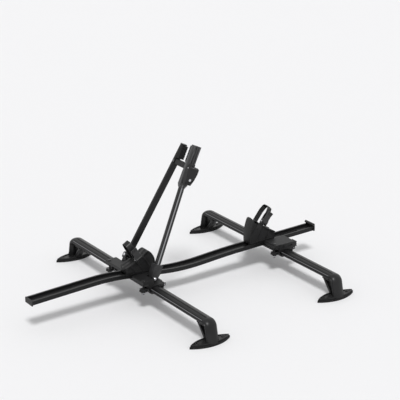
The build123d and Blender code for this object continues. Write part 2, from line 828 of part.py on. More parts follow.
def arm_head():
    """The ribbed rail at the top of the near tube that stands against the bicycle's frame."""
    height = head_top - head_bottom
    rail = Pos(0, head_y, head_bottom + height / 2) * Box(head_width, head_depth, height)
    rail = fillet(rail.edges().filter_by(Axis.Z), head_corner)
    rail = fillet(rail.faces().sort_by(Axis.Z)[-1].edges(), head_rib_height / 2)
    groove_width = (head_width - 2 * head_corner - head_rib_count * head_rib_width) / (head_rib_count - 1)
    pitch = groove_width + head_rib_width
    near_face = head_y - head_depth / 2
    for n in range(head_rib_count - 1):
        x = (n - (head_rib_count - 2) / 2) * pitch
        low = (x - groove_width / 2, near_face - over, head_bottom - over)
        high = (x + groove_width / 2, near_face + head_rib_height, head_top + over)
        rail = rail - box_between(low, high)
    low = Pos(0, head_y, head_bottom - collar_drop) * Circle(tube_radius + knuckle_wall / 2)
    high = Pos(0, head_y, head_bottom) * RectangleRounded(head_width, head_depth, head_corner)
    head = rail + loft([low, high])
    head = head - near_axis() * rod_z(0, 0, tube_radius + contact_gap, tube_start, tube_top())
    plug_radius = tube_radius - tube_wall - contact_gap
    head = head + near_axis() * rod_z(0, 0, plug_radius, tube_top() - head_plug, tube_top() + head_corner)
    return head - rod_y(0, rod_height, rod_radius + running_gap, near_face - over, head_y + head_depth)


def pad_grooves(y):
    """Grooves across a jaw pad's gripping face at y."""
    grooves = []
    pitch = (jaw_pad_top - jaw_pad_bottom) / jaw_pad_groove_count
    for n in range(jaw_pad_groove_count):
        z = jaw_pad_bottom + (n + 1 / 2) * pitch
        grooves.append(rod_x(y, z, jaw_pad_groove_radius, -jaw_pad_width, jaw_pad_width))
    return grooves


def near_jaw_pad():
    face = head_y + head_depth / 2
    low = (-jaw_pad_width / 2, face, jaw_pad_bottom)
    high = (jaw_pad_width / 2, face + jaw_pad_depth, jaw_pad_top)
    pad = box_between(low, high)
    pad = fillet(pad.edges().filter_by(Axis.Y), head_corner)
    for groove in pad_grooves(face + jaw_pad_depth):
        pad = pad - groove
    return pad


def far_jaw_pad():
    """A wedge, so that its face stands upright on the leaning far arm."""
    face = head_y + head_depth / 2 + jaw_pad_depth + frame_tube_gap
    low, high = jaw_pad_bottom, jaw_pad_top - jaw_pad_depth * 2
    seat_low, seat_high = far_inner_y(low) - contact_gap, far_inner_y(high) - contact_gap
    outline = Plane.YZ * make_face(Polyline((face, low), (seat_low, low), (seat_high, high), (face, high), close=True))
    pad = Pos(-far_arm_width / 2, 0, 0) * extrude(outline, amount=far_arm_width)
    for groove in pad_grooves(face):
        pad = pad - groove
    return pad


def cross_guide():
    """The sleeve under the bicycle's frame that carries the tension rod."""
    inner = head_y + head_depth / 2
    top = rod_height + guide_height / 2
    end = far_inner_y(top) - over
    guide = box_between((-guide_width / 2, inner, rod_height - guide_height / 2), (guide_width / 2, end, top))
    guide = fillet(guide.edges().filter_by(Axis.Y), head_corner)
    return guide - rod_y(0, rod_height, rod_radius + running_gap, inner - over, end + over)


def wear_plate():
    face = head_y - head_depth / 2
    low = (-wear_plate_width / 2, face - wear_plate_thickness, rod_height - wear_plate_height / 2)
    high = (wear_plate_width / 2, face, rod_height + wear_plate_height / 2)
    plate = box_between(low, high)
    plate = fillet(plate.edges().filter_by(Axis.Y), wear_plate_thickness)
    return plate - rod_y(0, rod_height, rod_radius + running_gap, face - 2 * wear_plate_thickness, face + over)


def far_yoke():
    """The far pivot's eye with a fork above it, for the far arm's side hinge."""
    near_side, far_side = far_yoke_y - knuckle_width / 2, far_yoke_y + knuckle_width / 2
    eye = rod_y(0, 0, knuckle_radius, near_side, far_side)
    inner = far_arm_width / 2 + side_play
    outer = inner + fork_thickness
    floor = far_arm_hinge - fork_eye_radius - side_play
    block = box_between((-outer, near_side, 0), (outer, far_side, floor))
    block = block - box_between((-outer - over, near_side - over, -over), (-knuckle_radius, far_side + over, fork_root))
    block = block - box_between((knuckle_radius, near_side - over, -over), (outer + over, far_side + over, fork_root))
    body = eye + block
    for side in (-1, 1):
        a, b = sorted((side * inner, side * outer))
        cheek = box_between((a, near_side, fork_root), (b, far_side, far_arm_hinge))
        cheek = cheek + rod_x(far_yoke_y, far_arm_hinge, knuckle_width / 2, a, b)
        body = body + cheek
    body = body - rod_x(far_yoke_y, far_arm_hinge, far_pin_radius + contact_gap / 2, -outer - over, outer + over)
    return body - rod_y(0, 0, pivot_radius + running_gap, near_side - over, far_side + over)


def far_yoke_pin():
    outer = far_arm_width / 2 + side_play + fork_thickness
    head = far_pin_radius / 2
    pin = rod_x(far_yoke_y, far_arm_hinge, far_pin_radius, -outer - head, outer + head)
    caps = []
    for side in (-1, 1):
        a, b = sorted((side * (outer + contact_gap), side * (outer + head)))
        caps.append(rod_x(far_yoke_y, far_arm_hinge, far_pin_radius + head, a, b))
    return fused(pin, *caps)


def far_arm():
    """A closed rectangular tube that leans in to the far side of the bicycle's frame."""
    pose = Pos(0, far_yoke_y, far_arm_hinge) * Rot(far_lean(), 0, 0)
    length = (far_arm_top - far_arm_hinge) / cos(radians(far_lean()))
    outer = RectangleRounded(far_arm_width, far_arm_depth, far_arm_wall * 3 / 2)
    inner = RectangleRounded(far_arm_width - 2 * far_arm_wall, far_arm_depth - 2 * far_arm_wall, far_arm_wall / 2)
    tube = extrude(outer, amount=length)
    hollow = Pos(0, 0, 2 * fork_eye_radius) * extrude(inner, amount=length - 2 * fork_eye_radius - far_arm_wall)
    eye = rod_x(0, 0, fork_eye_radius, -far_arm_width / 2, far_arm_width / 2)
    arm = pose * (tube + eye - hollow)
    arm = arm - rod_x(far_yoke_y, far_arm_hinge, far_pin_radius + running_gap, -far_arm_width, far_arm_width)
    y = far_centre_y(rod_height)
    radius = barrel_radius + barrel_gap
    seat = Plane.YZ * Pos(y, rod_height) * SlotCenterToCenter(2 * barrel_play, 2 * radius, rotation=90 + far_lean())
    arm = arm - Pos(-far_arm_width, 0, 0) * extrude(seat, amount=2 * far_arm_width)
    window = Plane.XZ * Pos(0, rod_height) * SlotCenterToCenter(2 * barrel_play, 2 * (rod_radius + barrel_gap), rotation=90)
    return arm - Pos(0, y + far_arm_depth, 0) * extrude(window, amount=2 * far_arm_depth)


def lever_pivot_y():
    plate = head_y - head_depth / 2 - wear_plate_thickness
    return plate - cam_gap - cam_low_radius - clamp_throw


def tension_rod():
    """The rod from the lever's eye, through the head and the guide, to the far arm."""
    y = lever_pivot_y()
    end = far_centre_y(rod_height) + rod_tail
    shank = rod_y(0, rod_height, rod_radius, y, end)
    eye = rod_x(y, rod_height, rod_eye_radius, -rod_end_width / 2, rod_end_width / 2)
    bore = rod_x(y, rod_height, lever_pin_radius + contact_gap / 2, -rod_end_width, rod_end_width)
    return shank + eye - bore


def barrel_nut():
    y = far_centre_y(rod_height)
    barrel = rod_x(y, rod_height, barrel_radius, -barrel_length / 2, barrel_length / 2)
    return barrel - rod_y(0, rod_height, rod_radius, y - barrel_radius - over, y + barrel_radius + over)


def cam_point(angle, inset):
    """A point of the cam: an involute, so that the clamp's throw is even over the lever's travel."""
    rate = opening_rate
    reach = cam_low_radius + clamp_throw - inset - rate * angle
    return reach * cos(angle) + rate * sin(angle), reach * sin(angle) - rate * cos(angle)


def cam_outline(back, foot, inset=0.0):
    """The cam seen along its pin, closed by a flat back and foot; inset lowers the cam's face."""
    sweep_angle = radians(lever_travel)
    flank = Spline(*[cam_point(sweep_angle * n / cam_steps, inset) for n in range(cam_steps + 1)])
    start, end = flank @ 0, flank @ 1
    run = (end.X - back) / sin(sweep_angle)
    corner = (back, end.Y + run * cos(sweep_angle))
    rest = Polyline(end, corner, (back, -foot), (start.X - over, -foot), (start.X - over, start.Y - over), start)
    return make_face([flank] + rest.edges())


def lever():
    """The clamp lever: cheeks round the rod's eye and a tapered handle down the head."""
    back = -(lever_depth - cam_low_radius - clamp_throw)
    cheeks = cam_outline(back, lever_width_top / 2, over)
    inner_top = cam_low_radius + clamp_throw - 2 * over
    handle = make_face(Polyline(
        (back, 0),
        (back, -lever_length * lever_knee_share),
        (back + lever_depth - lever_end_depth, -lever_length),
        (inner_top, -lever_length),
        (inner_top, 0),
        close=True,
    ))
    side = Plane.YZ * (cheeks + handle)
    body = Pos(-lever_width_top / 2, 0, 0) * extrude(side, amount=lever_width_top)
    half_top, half_end = lever_width_top / 2, lever_width_end / 2
    front = Plane.XZ * make_face(Polyline(
        (-half_top, lever_width_top), (-half_top, -lever_width_end / 2), (-half_end, -lever_length),
        (half_end, -lever_length), (half_top, -lever_width_end / 2), (half_top, lever_width_top), close=True,
    ))
    body = body & slab_y(front, -lever_width_top, lever_width_top)
    body = fillet(body.edges().group_by(Axis.Y)[0], lever_corner * 3 / 4)
    eye_half = rod_end_width / 2 + side_play
    slot_low = -rod_eye_radius - 2 * over
    body = body - box_between((-eye_half, -rod_eye_radius - side_play, slot_low), (eye_half, lever_depth, lever_depth))
    for side in (-1, 1):
        half = cam_thickness / 2 + contact_gap
        x = side * cam_offset
        body = body - box_between((x - half, -lever_corner, -cam_foot), (x + half, lever_depth, lever_depth))
    pocket_half = half_end - 2 * lever_corner
    pocket = box_between((-pocket_half, lever_corner, -lever_length + lever_corner), (pocket_half, lever_depth, -cam_foot - lever_corner))
    body = body - pocket
    body = body + rod_y(0, -lock_height, lock_radius + lever_corner / 2, -lever_corner, inner_top)
    outer = lever_outer_y(-lock_height)
    body = body - rod_y(0, -lock_height, lock_radius + running_gap, outer - lever_depth, outer + lock_length)
    bore = lever_pin_radius + contact_gap / 2
    body = body - rod_x(0, 0, bore, -lever_width_top, lever_width_top)
    return Pos(0, lever_pivot_y(), rod_height) * body


def lever_outer_y(z):
    """The handle's outer face, at height z below its pin."""
    back = -(lever_depth - cam_low_radius - clamp_throw)
    knee = -lever_length * lever_knee_share
    end = back + lever_depth - lever_end_depth
    return back + (end - back) * (z - knee) / (-lever_length - knee)


def lever_cams():
    """Two steel cams let into the lever, which bear on the head's wear plate."""
    back = -lever_corner + contact_gap
    cams = []
    for side in (-1, 1):
        face = Plane.YZ * (cam_outline(-lever_depth / 2, cam_foot - contact_gap) & cam_window(back))
        cam = extrude(face, amount=cam_thickness)
        cam = Pos(side * cam_offset - cam_thickness / 2, 0, 0) * cam
        cam = cam - rod_x(0, 0, lever_pin_radius + contact_gap / 2, -lever_width_top, lever_width_top)
        cams.append(Pos(0, lever_pivot_y(), rod_height) * cam)
    return cams


def cam_window(back):
    reach = 2 * lever_depth
    return Pos(back + reach / 2, 0) * Rectangle(reach, 2 * reach)


def lever_pin():
    half = lever_width_top / 2 - over
    return rod_x(lever_pivot_y(), rod_height, lever_pin_radius, -half, half)


def lock_cylinder():
    outer = lever_outer_y(-lock_height)
    lock = rod_y(0, -lock_height, lock_radius, outer - lock_proud, outer + lock_length - contact_gap)
    low = (-key_slot_width / 2, outer - lock_proud - over, -lock_height - key_slot_length / 2)
    high = (key_slot_width / 2, outer - lock_proud + key_slot_depth, -lock_height + key_slot_length / 2)
    return Pos(0, lever_pivot_y(), rod_height) * (lock - box_between(low, high))


def pivot_bolts():
    bolts = []
    for y, side in ((near_knuckle_y, -1), (far_yoke_y, 1)):
        outer = y + side * (knuckle_width / 2 + lug_gap)
        inner = y - side * (knuckle_width / 2 + pivot_grip)
        a, b = sorted((inner, outer))
        c, d = sorted((outer, outer + side * pivot_head_height))
        bolt = rod_y(0, 0, pivot_radius, a, b) + rod_y(0, 0, pivot_head_radius, c, d)
        face = bolt.faces().sort_by(Axis.Y)[0 if side < 0 else -1]
        bolts.append(arm_pose * fillet(face.edges(), pivot_head_height / 2))
    put("pivot_bolts", *bolts)


def arm_clearance():
    """Room in the front base for the two knuckles: a full sweep round the pivot."""
    rooms = []
    top = base_top + over
    near_inner = near_knuckle_y + knuckle_width / 2 + lug_gap + pivot_boss_height
    far_inner = far_yoke_y - knuckle_width / 2 - lug_gap
    for inner, end in ((near_inner, -front_near_end - over), (far_inner, front_far_end + over)):
        low_y, high_y = sorted((inner, end))
        low = (pivot_x - arm_room_front, low_y, pivot_z - knuckle_radius - lug_gap)
        high = (pivot_x + arm_room_back, high_y, top)
        rooms.append(box_between(low, high))
    boss = rod_y(pivot_x, pivot_z, pivot_boss_radius, near_inner - pivot_boss_height, near_inner)
    room = fused(*rooms) - boss
    grip = knuckle_width / 2 + pivot_grip + over
    for a, b in ((near_knuckle_y, near_knuckle_y + grip), (far_yoke_y - grip, far_yoke_y)):
        room = room + rod_y(pivot_x, pivot_z, pivot_radius + contact_gap / 2, a, b)
    return room


def frame_arm():
    upright = {
        "arm_knuckle_near": [near_knuckle()],
        "arm_tube_near": [near_tube()],
        "arm_head": [arm_head()],
        "head_wear_plate": [wear_plate()],
        "jaw_pad_near": [near_jaw_pad()],
        "cross_guide": [cross_guide()],
        "arm_yoke_far": [far_yoke()],
        "arm_yoke_pin": [far_yoke_pin()],
        "arm_far": [far_arm()],
        "jaw_pad_far": [far_jaw_pad()],
        "tension_rod": [tension_rod()],
        "barrel_nut": [barrel_nut()],
        "clamp_lever": [lever()],
        "lever_cams": lever_cams(),
        "lever_pin": [lever_pin()],
        "lock_cylinder": [lock_cylinder()],
    }
    for name, solids in upright.items():
        put(name, *[arm_pose * s for s in solids])
    pivot_bolts()


# Chocks, in a side view where u runs from the wheel's hub towards the chock
def on_tread(hub_z, angle, radius):
    return radius * sin(radians(angle)), hub_z - radius * cos(radians(angle))


def chock(hub_x, hub_z, side, toe_angle, top_angle, back_slope, strap_angle, lift):
    """A wedge with two cheeks and a hollow for the tyre, standing on the tray's lips."""
    cheek = wheel_radius - cheek_rise
    toe = on_tread(hub_z, toe_angle, cheek)
    middle = on_tread(hub_z, (toe_angle + top_angle) / 2, cheek)
    top = on_tread(hub_z, top_angle, cheek)
    crown = (top[0] + chock_crown, top[1] - chock_crown / 4)
    base_end = crown[0] + (crown[1] - tray_z(hub_x + side * crown[0])) * tan(radians(back_slope))
    foot_z = tray_z(hub_x + side * toe[0]) + lift
    heel_z = tray_z(hub_x + side * base_end) + lift
    tongues = [base_end - tongue_length]
    if side > 0:
        tongues.append(toe[0])
    outline = make_face([
        Line((toe[0], foot_z), toe),
        ThreePointArc(toe, middle, top),
        Line(top, crown),
        Line(crown, (base_end, heel_z)),
        Line((base_end, heel_z), (toe[0], foot_z)),
    ])
    corners = outline.vertices().sort_by(Axis.Y)[-2:]
    outline = fillet(corners, chock_crown / 2)
    solid = slab_y(Plane.XZ * outline, -chock_width / 2, chock_width / 2)
    pocket = offset(outline, -chock_rib - over)
    for edge in (-1, 1):
        inner = edge * (chock_width / 2 - chock_pocket_depth)
        a, b = sorted((inner, edge * (chock_width / 2 + over)))
        cut = slab_y(Plane.XZ * pocket, a, b)
        for angle in (toe_angle, (toe_angle + top_angle) / 2, top_angle):
            u, z = on_tread(hub_z, angle, wheel_radius)
            rib = Pos(u, (a + b) / 2, z) * Rot(0, -angle, 0) * Box(chock_rib, b - a, wheel_radius)
            cut = cut - rib
        solid = solid - cut
    groove = Pos(wheel_radius - tyre_radius, 0) * Circle(tyre_radius)
    groove = groove + Pos(wheel_radius - 2 * tyre_radius - over, 0) * Rectangle(2 * tyre_radius + 2 * over, 2 * tyre_radius)
    ring = revolve(groove, axis=Axis.Y, revolution_arc=180)
    solid = solid - Pos(0, 0, hub_z) * Rot(0, 0, 0) * ring
    for u in tongues:
        ends = [tray_z(hub_x + side * end, tray_floor_depth) for end in (u, u + tongue_length)]
        low = (u, -tongue_width / 2, max(ends) + tongue_gap)
        high = (u + tongue_length, tongue_width / 2, max(ends) + tray_floor_depth + chock_floor)
        solid = solid + box_between(low, high)
    if side < 0:
        solid = mirror(solid, about=Plane.YZ)
    solid = Pos(hub_x, tray_y, 0) * solid
    plane = strap_plane(hub_x, hub_z, side, strap_angle)
    for v in (-strap_half_base, strap_half_base):
        size = (strap_thickness + 2 * strap_slot_gap, strap_top + strap_root, strap_width + 2 * strap_slot_gap)
        slot = Pos(v, (strap_top - strap_root - strap_slot_gap) / 2, 0) * Box(*size)
        solid = solid - plane * slot
    return solid


def strap_plane(hub_x, hub_z, side, angle):
    """The strap's plane: X across the tray, Y from the tread towards the hub."""
    u, z = on_tread(hub_z, angle, wheel_radius)
    slope = radians(angle)
    return Plane(origin=(hub_x + side * u, tray_y, z), x_dir=(0, 1, 0), z_dir=(cos(slope), 0, side * sin(slope)))


def strap(plane):
    base, top = strap_half_base, strap_half_top
    points = [
        (-base, -strap_root), (-base, strap_straight), (-top, strap_top),
        (top, strap_top), (base, strap_straight), (base, -strap_root),
    ]
    path = plane * FilletPolyline(*points, radius=[strap_bend * 3, strap_bend, strap_bend, strap_bend * 3])
    start = Plane(origin=path @ 0, x_dir=plane.z_dir, z_dir=path % 0)
    return sweep(start * Rectangle(strap_width, strap_thickness), path=path)


def buckle_seat():
    return -strap_half_base - strap_thickness / 2 - contact_gap


def buckle(plane):
    """A folded steel cradle on the strap's near side, with two ears for the lever's pin."""
    seat = buckle_seat()
    middle = buckle_start + buckle_length / 2
    floor = Pos(seat - buckle_floor / 2, middle, 0) * Box(buckle_floor, buckle_length, buckle_width)
    ears = []
    for side in (-1, 1):
        w = side * (buckle_width - buckle_ear) / 2
        ear = Pos(seat - buckle_rise / 2, buckle_start + buckle_length * ear_length_share / 2, w)
        ear = ear * Box(buckle_rise, buckle_length * ear_length_share, buckle_ear)
        ears.append(fillet(ear.edges().filter_by(Axis.Z).group_by(Axis.X)[0], buckle_rise / 3))
    body = fused(floor, *ears)
    u, v = buckle_start + buckle_pin_back, seat - buckle_pin_back
    bore = Pos(v, u, 0) * Cylinder(buckle_pin_radius + running_gap, buckle_width + 2 * over)
    return plane * (body - bore)


def buckle_lever(plane):
    """The ratchet lever: toothed drum, side-to-side pin and a bent thumb plate."""
    seat = buckle_seat()
    u, v = buckle_start + buckle_pin_back, seat - buckle_pin_back
    half = buckle_width / 2 - buckle_ear - side_play
    pin = Cylinder(buckle_pin_radius, buckle_width)
    drum = Cylinder(ratchet_radius, 2 * half)
    for n in range(ratchet_teeth):
        angle = 360 * n / ratchet_teeth
        notch = Rot(0, 0, angle) * Pos(ratchet_radius, 0, 0) * Rot(0, 0, 45) * Box(tooth_depth, tooth_depth, buckle_width)
        drum = drum - notch
    bend_at = buckle_lever_length * lever_bend_share
    outline = make_face(Polyline(
        (0, 0), (-buckle_lever_thickness, 0), (-buckle_lever_thickness, bend_at),
        (-2 * buckle_lever_thickness, buckle_lever_length),
        (-buckle_lever_thickness, buckle_lever_length), (0, bend_at), close=True,
    ))
    plate = Pos(0, 0, -half) * extrude(outline, amount=2 * half)
    plate = fillet(plate.edges().filter_by(Axis.X).group_by(Axis.Y)[-1], buckle_lever_thickness)
    lever_body = fused(drum, pin, plate)
    return plane * Pos(v, u, 0) * lever_body


def chock_fixing():
    """The bolt and square nut plate that let the rear chock slide along the floor's slot."""
    x = tray_front_x + chock_slot_start + chock_slot_length / 2 - (slide_back - slide_forward) / 2
    floor_low = tray_z(x, tray_floor_depth + tray_wall)
    plate_top = floor_low - nut_plate_gap
    plate = Pos(x, tray_y, plate_top - nut_plate_thickness / 2)
    plate = plate * Rot(0, -tray_slope(), 0) * Box(nut_plate_length, nut_plate_width, nut_plate_thickness)
    shank = rod_z(x, tray_y, chock_bolt_radius, plate_top - nut_plate_thickness / 2, floor_low + chock_bolt_up)
    return shank + plate, shank


def wheel_holders():
    front = (front_hub_x, front_hub_z, 1)
    rear = (rear_hub_x, rear_hub_z, -1)
    put("chock_front", chock(*front, front_toe_angle, front_top_angle, front_back_slope, front_strap_angle, 0))
    fixing, shank = chock_fixing()
    rear_body = chock(*rear, rear_toe_angle, rear_top_angle, rear_back_slope, rear_strap_angle, chock_lift)
    put("chock_rear", rear_body - shank)
    put("chock_fixing", fixing)
    for name, place, angle in (("front", front, front_strap_angle), ("rear", rear, rear_strap_angle)):
        plane = strap_plane(*place, angle)
        put("strap_" + name, strap(plane))
        put("buckle_" + name, buckle(plane))
        put("buckle_lever_" + name, buckle_lever(plane))


def rear_covers():
    for name, face, side in (("near", -rear_near_end, -1), ("far", rear_far_end, 1)):
        outer = face + side * cover_thickness
        low_z = bar_top_z + base_clearance
        a, b = sorted((face, outer))
        end = rear_bar_x + jaw_pin_x + jaw_eye_radius
        cover = box_between((rear_bar_x - base_front_reach, a, low_z + jaw_eye_radius), (end, b, base_top + over))
        cover = fillet(cover.edges().filter_by(Axis.Y), cover_fin_pitch / 2)
        cover = cover - rod_y(rear_bar_x - base_front_reach / 2, pivot_z, cover_hole_radius, a - over, b + over)
        slot = Plane.XZ * Pos(rear_bar_x + base_front_reach / 2, pivot_z) * SlotOverall(cover_slot_length, cover_slot_height)
        cover = cover - slab_y(slot, a - over, b + over)
        inner = face - side * cover_fin_pitch * cover_fin_count
        c, d = sorted((inner, outer))
        for n in range(cover_fin_count):
            z = base_top - cover_fin_pitch * (n + 1 / 2)
            fin = box_between((end + contact_gap, c, z - cover_fin_thickness), (end + cover_fin_depth, d, z))
            fin = fillet(fin.edges().filter_by(Axis.Z).group_by(Axis.X)[-1], cover_fin_depth / 2)
            cover = cover + fin
        back = box_between((end + contact_gap, c, base_top - cover_fin_pitch * cover_fin_count), (end + cover_thickness, d, base_top))
        put("rear_cover_" + name, cover + back + box_between((end - over, a, base_top - cover_fin_pitch * cover_fin_count), (end + over, b, base_top)))


def build():
    rack()
    put("tray", tray())
    tray_caps()
    bases()
    rear_covers()
    clamps()
    frame_arm()
    wheel_holders()
    os.makedirs("parts", exist_ok=True)
    for name, shape in nodes.items():
        export_step(shape, "parts/" + name + ".step")


build()
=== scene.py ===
import math

import bmesh
import bpy
from mathutils import Matrix, Vector


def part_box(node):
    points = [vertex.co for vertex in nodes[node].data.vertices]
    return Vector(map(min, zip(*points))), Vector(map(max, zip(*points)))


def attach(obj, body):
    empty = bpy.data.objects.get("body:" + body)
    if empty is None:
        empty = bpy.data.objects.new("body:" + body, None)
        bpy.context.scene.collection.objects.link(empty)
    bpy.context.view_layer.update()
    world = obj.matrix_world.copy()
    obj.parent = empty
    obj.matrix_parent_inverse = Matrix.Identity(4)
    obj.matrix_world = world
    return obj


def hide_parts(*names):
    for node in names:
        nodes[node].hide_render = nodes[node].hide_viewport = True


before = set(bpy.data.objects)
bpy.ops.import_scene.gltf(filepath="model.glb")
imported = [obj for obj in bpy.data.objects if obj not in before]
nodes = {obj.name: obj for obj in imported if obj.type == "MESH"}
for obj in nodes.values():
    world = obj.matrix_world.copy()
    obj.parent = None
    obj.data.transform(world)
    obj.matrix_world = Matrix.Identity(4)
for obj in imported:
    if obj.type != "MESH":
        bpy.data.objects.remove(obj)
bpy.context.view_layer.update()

# Roof mounted bike carrier: lengths in metres, angles in degrees
scene = bpy.context.scene
print("frame loaded:", len(nodes), "nodes")

# Camera
camera = {
    "place": (-2.94654, -4.52804, 2.37700),
    "ahead": (0.527011, 0.776489, -0.345435),
    "above": (0.199449, 0.282106, 0.938422),
    "lens": 126.13,
    "sensor": 36.0,
}


def makeCamera():
    data = bpy.data.cameras.new("camera")
    data.lens, data.sensor_width = camera["lens"], camera["sensor"]
    data.clip_start, data.clip_end = 0.1, 60
    ahead, above = Vector(camera["ahead"]), Vector(camera["above"])
    turn = Matrix((ahead.cross(above), above, -ahead)).transposed()
    made = bpy.data.objects.new("camera", data)
    made.matrix_world = Matrix.Translation(camera["place"]) @ turn.to_4x4()
    scene.collection.objects.link(made)
    scene.camera = made


# Studio: a pale floor, a soft sun from the camera's left and a bright room
studio = {
    "floorColour": (0.86, 0.86, 0.87, 1),
    "floorSize": 60.0,
    "roomColour": (1.0, 1.0, 1.0, 1),
    "roomStrength": 0.55,        # what lights the object
    "roomSeen": 1.0,             # what the camera and glossy surfaces see
    "sunFrom": (-0.30, -0.55, 1.0),
    "sunWidth": 14.0,
    "sunStrength": 1.9,
}


class Wire:
    # A node's output, with arithmetic that adds Math nodes
    def __init__(self, finish, socket):
        self.finish, self.socket = finish, socket

    def maths(self, operation, first, second=0.0):
        return self.finish.node("ShaderNodeMath", {"operation": operation}, {0: first, 1: second})

    def __add__(self, other):
        return self.maths("ADD", self, other)

    def __mul__(self, other):
        return self.maths("MULTIPLY", self, other)

    def __sub__(self, other):
        return self.maths("SUBTRACT", self, other)

    def __rsub__(self, other):
        return self.maths("SUBTRACT", other, self)

    def ramped(self, low, high, toLow=0.0, toHigh=1.0):
        ends = {"From Min": low, "From Max": high, "To Min": toLow, "To Max": toHigh}
        return self.finish.node("ShaderNodeMapRange", {"interpolation_type": "SMOOTHSTEP"}, {"Value": self, **ends})


class Finish:
    # A material's nodes: node() adds any of them, settings first and then sockets
    def __init__(self, name, **constants):
        self.material = bpy.data.materials.new(name)
        self.material.use_nodes = True
        self.tree = self.material.node_tree
        self.shader = self.tree.nodes["Principled BSDF"]
        self.places = self.node("ShaderNodeTexCoord", {}, {}, "Object")
        for socket, value in constants.items():
            self.feed(socket.replace("_", " "), value)

    def node(self, kind, settings, inputs, output=0):
        made = self.tree.nodes.new(kind)
        for key, value in settings.items():
            setattr(made, key, value)
        for key, value in inputs.items():
            if isinstance(value, Wire):
                self.tree.links.new(value.socket, made.inputs[key])
            else:
                made.inputs[key].default_value = value
        return Wire(self, made.outputs[output])

    def feed(self, socket, value):
        if isinstance(value, Wire):
            self.tree.links.new(value.socket, self.shader.inputs[socket])
        else:
            self.shader.inputs[socket].default_value = value

    def placed(self, turn=(0, 0, 0), stretch=(1, 1, 1)):
        inputs = {"Vector": self.places, "Rotation": [math.radians(a) for a in turn], "Scale": stretch}
        return self.node("ShaderNodeMapping", {"vector_type": "TEXTURE"}, inputs)

    def noise(self, vector, scale, detail=3.0, rough=0.5):
        inputs = {"Vector": vector, "Scale": scale, "Detail": detail, "Roughness": rough}
        return self.node("ShaderNodeTexNoise", {}, inputs)

    def mixed(self, share, colourA, colourB):
        return self.node("ShaderNodeMix", {"data_type": "RGBA"}, {0: share, 6: colourA, 7: colourB}, 2)

    def edges(self, radius):
        # 0 on flat faces and 1 on sharp edges
        rounded = self.node("ShaderNodeBevel", {"samples": 4}, {"Radius": radius})
        true = self.node("ShaderNodeNewGeometry", {}, {}, "Normal")
        meet = self.node("ShaderNodeVectorMath", {"operation": "DOT_PRODUCT"}, {0: rounded, 1: true}, "Value")
        return meet.ramped(0.995, 0.80, 0, 1)

    def bump(self, height, distance, strength=1.0):
        inputs = {"Height": height, "Distance": distance, "Strength": strength}
        self.feed("Normal", self.node("ShaderNodeBump", {}, inputs))


def grey(value):
    # A grey with a breath of blue in it
    return (value, value, value * 1.04, 1)


def makeStudio():
    world = bpy.data.worlds.new("room")
    world.use_nodes = True
    scene.world = world
    tree = world.node_tree
    background = tree.nodes["Background"]
    background.inputs["Color"].default_value = studio["roomColour"]
    rays = tree.nodes.new("ShaderNodeLightPath")
    seen = tree.nodes.new("ShaderNodeMath")
    seen.operation = "MAXIMUM"
    tree.links.new(rays.outputs["Is Camera Ray"], seen.inputs[0])
    tree.links.new(rays.outputs["Is Glossy Ray"], seen.inputs[1])
    both = tree.nodes.new("ShaderNodeMath")
    both.operation = "MAXIMUM"
    tree.links.new(seen.outputs[0], both.inputs[0])
    tree.links.new(rays.outputs["Is Transmission Ray"], both.inputs[1])
    strength = tree.nodes.new("ShaderNodeMapRange")
    strength.inputs["To Min"].default_value = studio["roomStrength"]
    strength.inputs["To Max"].default_value = studio["roomSeen"]
    tree.links.new(both.outputs[0], strength.inputs["Value"])
    tree.links.new(strength.outputs[0], background.inputs["Strength"])

    paint = Finish("floorPaint", Roughness=0.7, Specular_IOR_Level=0.2)
    patches = paint.noise(paint.placed(), 1.5, 2)
    paint.feed("Base Color", studio["floorColour"])
    paint.feed("Roughness", patches.ramped(0.3, 0.7, 0.66, 0.74))
    mesh = bmesh.new()
    bmesh.ops.create_grid(mesh, x_segments=1, y_segments=1, size=studio["floorSize"] / 2)
    floor = asObject(mesh, "floor", paint.material)

    sunData = bpy.data.lights.new("sun", "SUN")
    sunData.angle, sunData.energy = math.radians(studio["sunWidth"]), studio["sunStrength"]
    sun = bpy.data.objects.new("sun", sunData)
    way = Vector(studio["sunFrom"]).normalized()
    sun.matrix_world = Matrix.Translation(way * 5) @ way.to_track_quat("Z", "Y").to_matrix().to_4x4()
    scene.collection.objects.link(sun)
    scene.view_settings.view_transform = "Standard"


def asObject(mesh, name, material, smooth=0):
    # Turns a bmesh into an object at the origin; edges sharper than smooth degrees stay sharp
    made = bpy.data.meshes.new(name)
    mesh.to_mesh(made)
    mesh.free()
    if material:
        made.materials.append(material)
    if smooth:
        made.shade_smooth()
        made.set_sharp_from_angle(angle=math.radians(smooth))
    thing = bpy.data.objects.new(name, made)
    scene.collection.objects.link(thing)
    return thing


# Finishes: the turns lay a finish's lines along a leaning arm, and a painted highlight is a pale stripe painted inside
# a band of painted shade
armLean, nearTilt = 25.3, -4.76
nearTubeTurn = (nearTilt, armLean, 0)
farArmTurn = (10.5, armLean, 0)
# Painted highlight stripes: axis and middle place each pale stripe across the part, half is its half width, dark is
# the half width of the painted shade band round it, and tone is the stripe's colour
barPaintedHighlight = {"axis": 2, "middle": 0.0928, "half": 0.0011, "dark": 0.0042, "tone": 0.20}
tubePaintedHighlight = {"axis": 0, "middle": -0.2130, "half": 0.0024, "dark": 0.0044, "tone": 0.24}
threadPitch = 0.00125


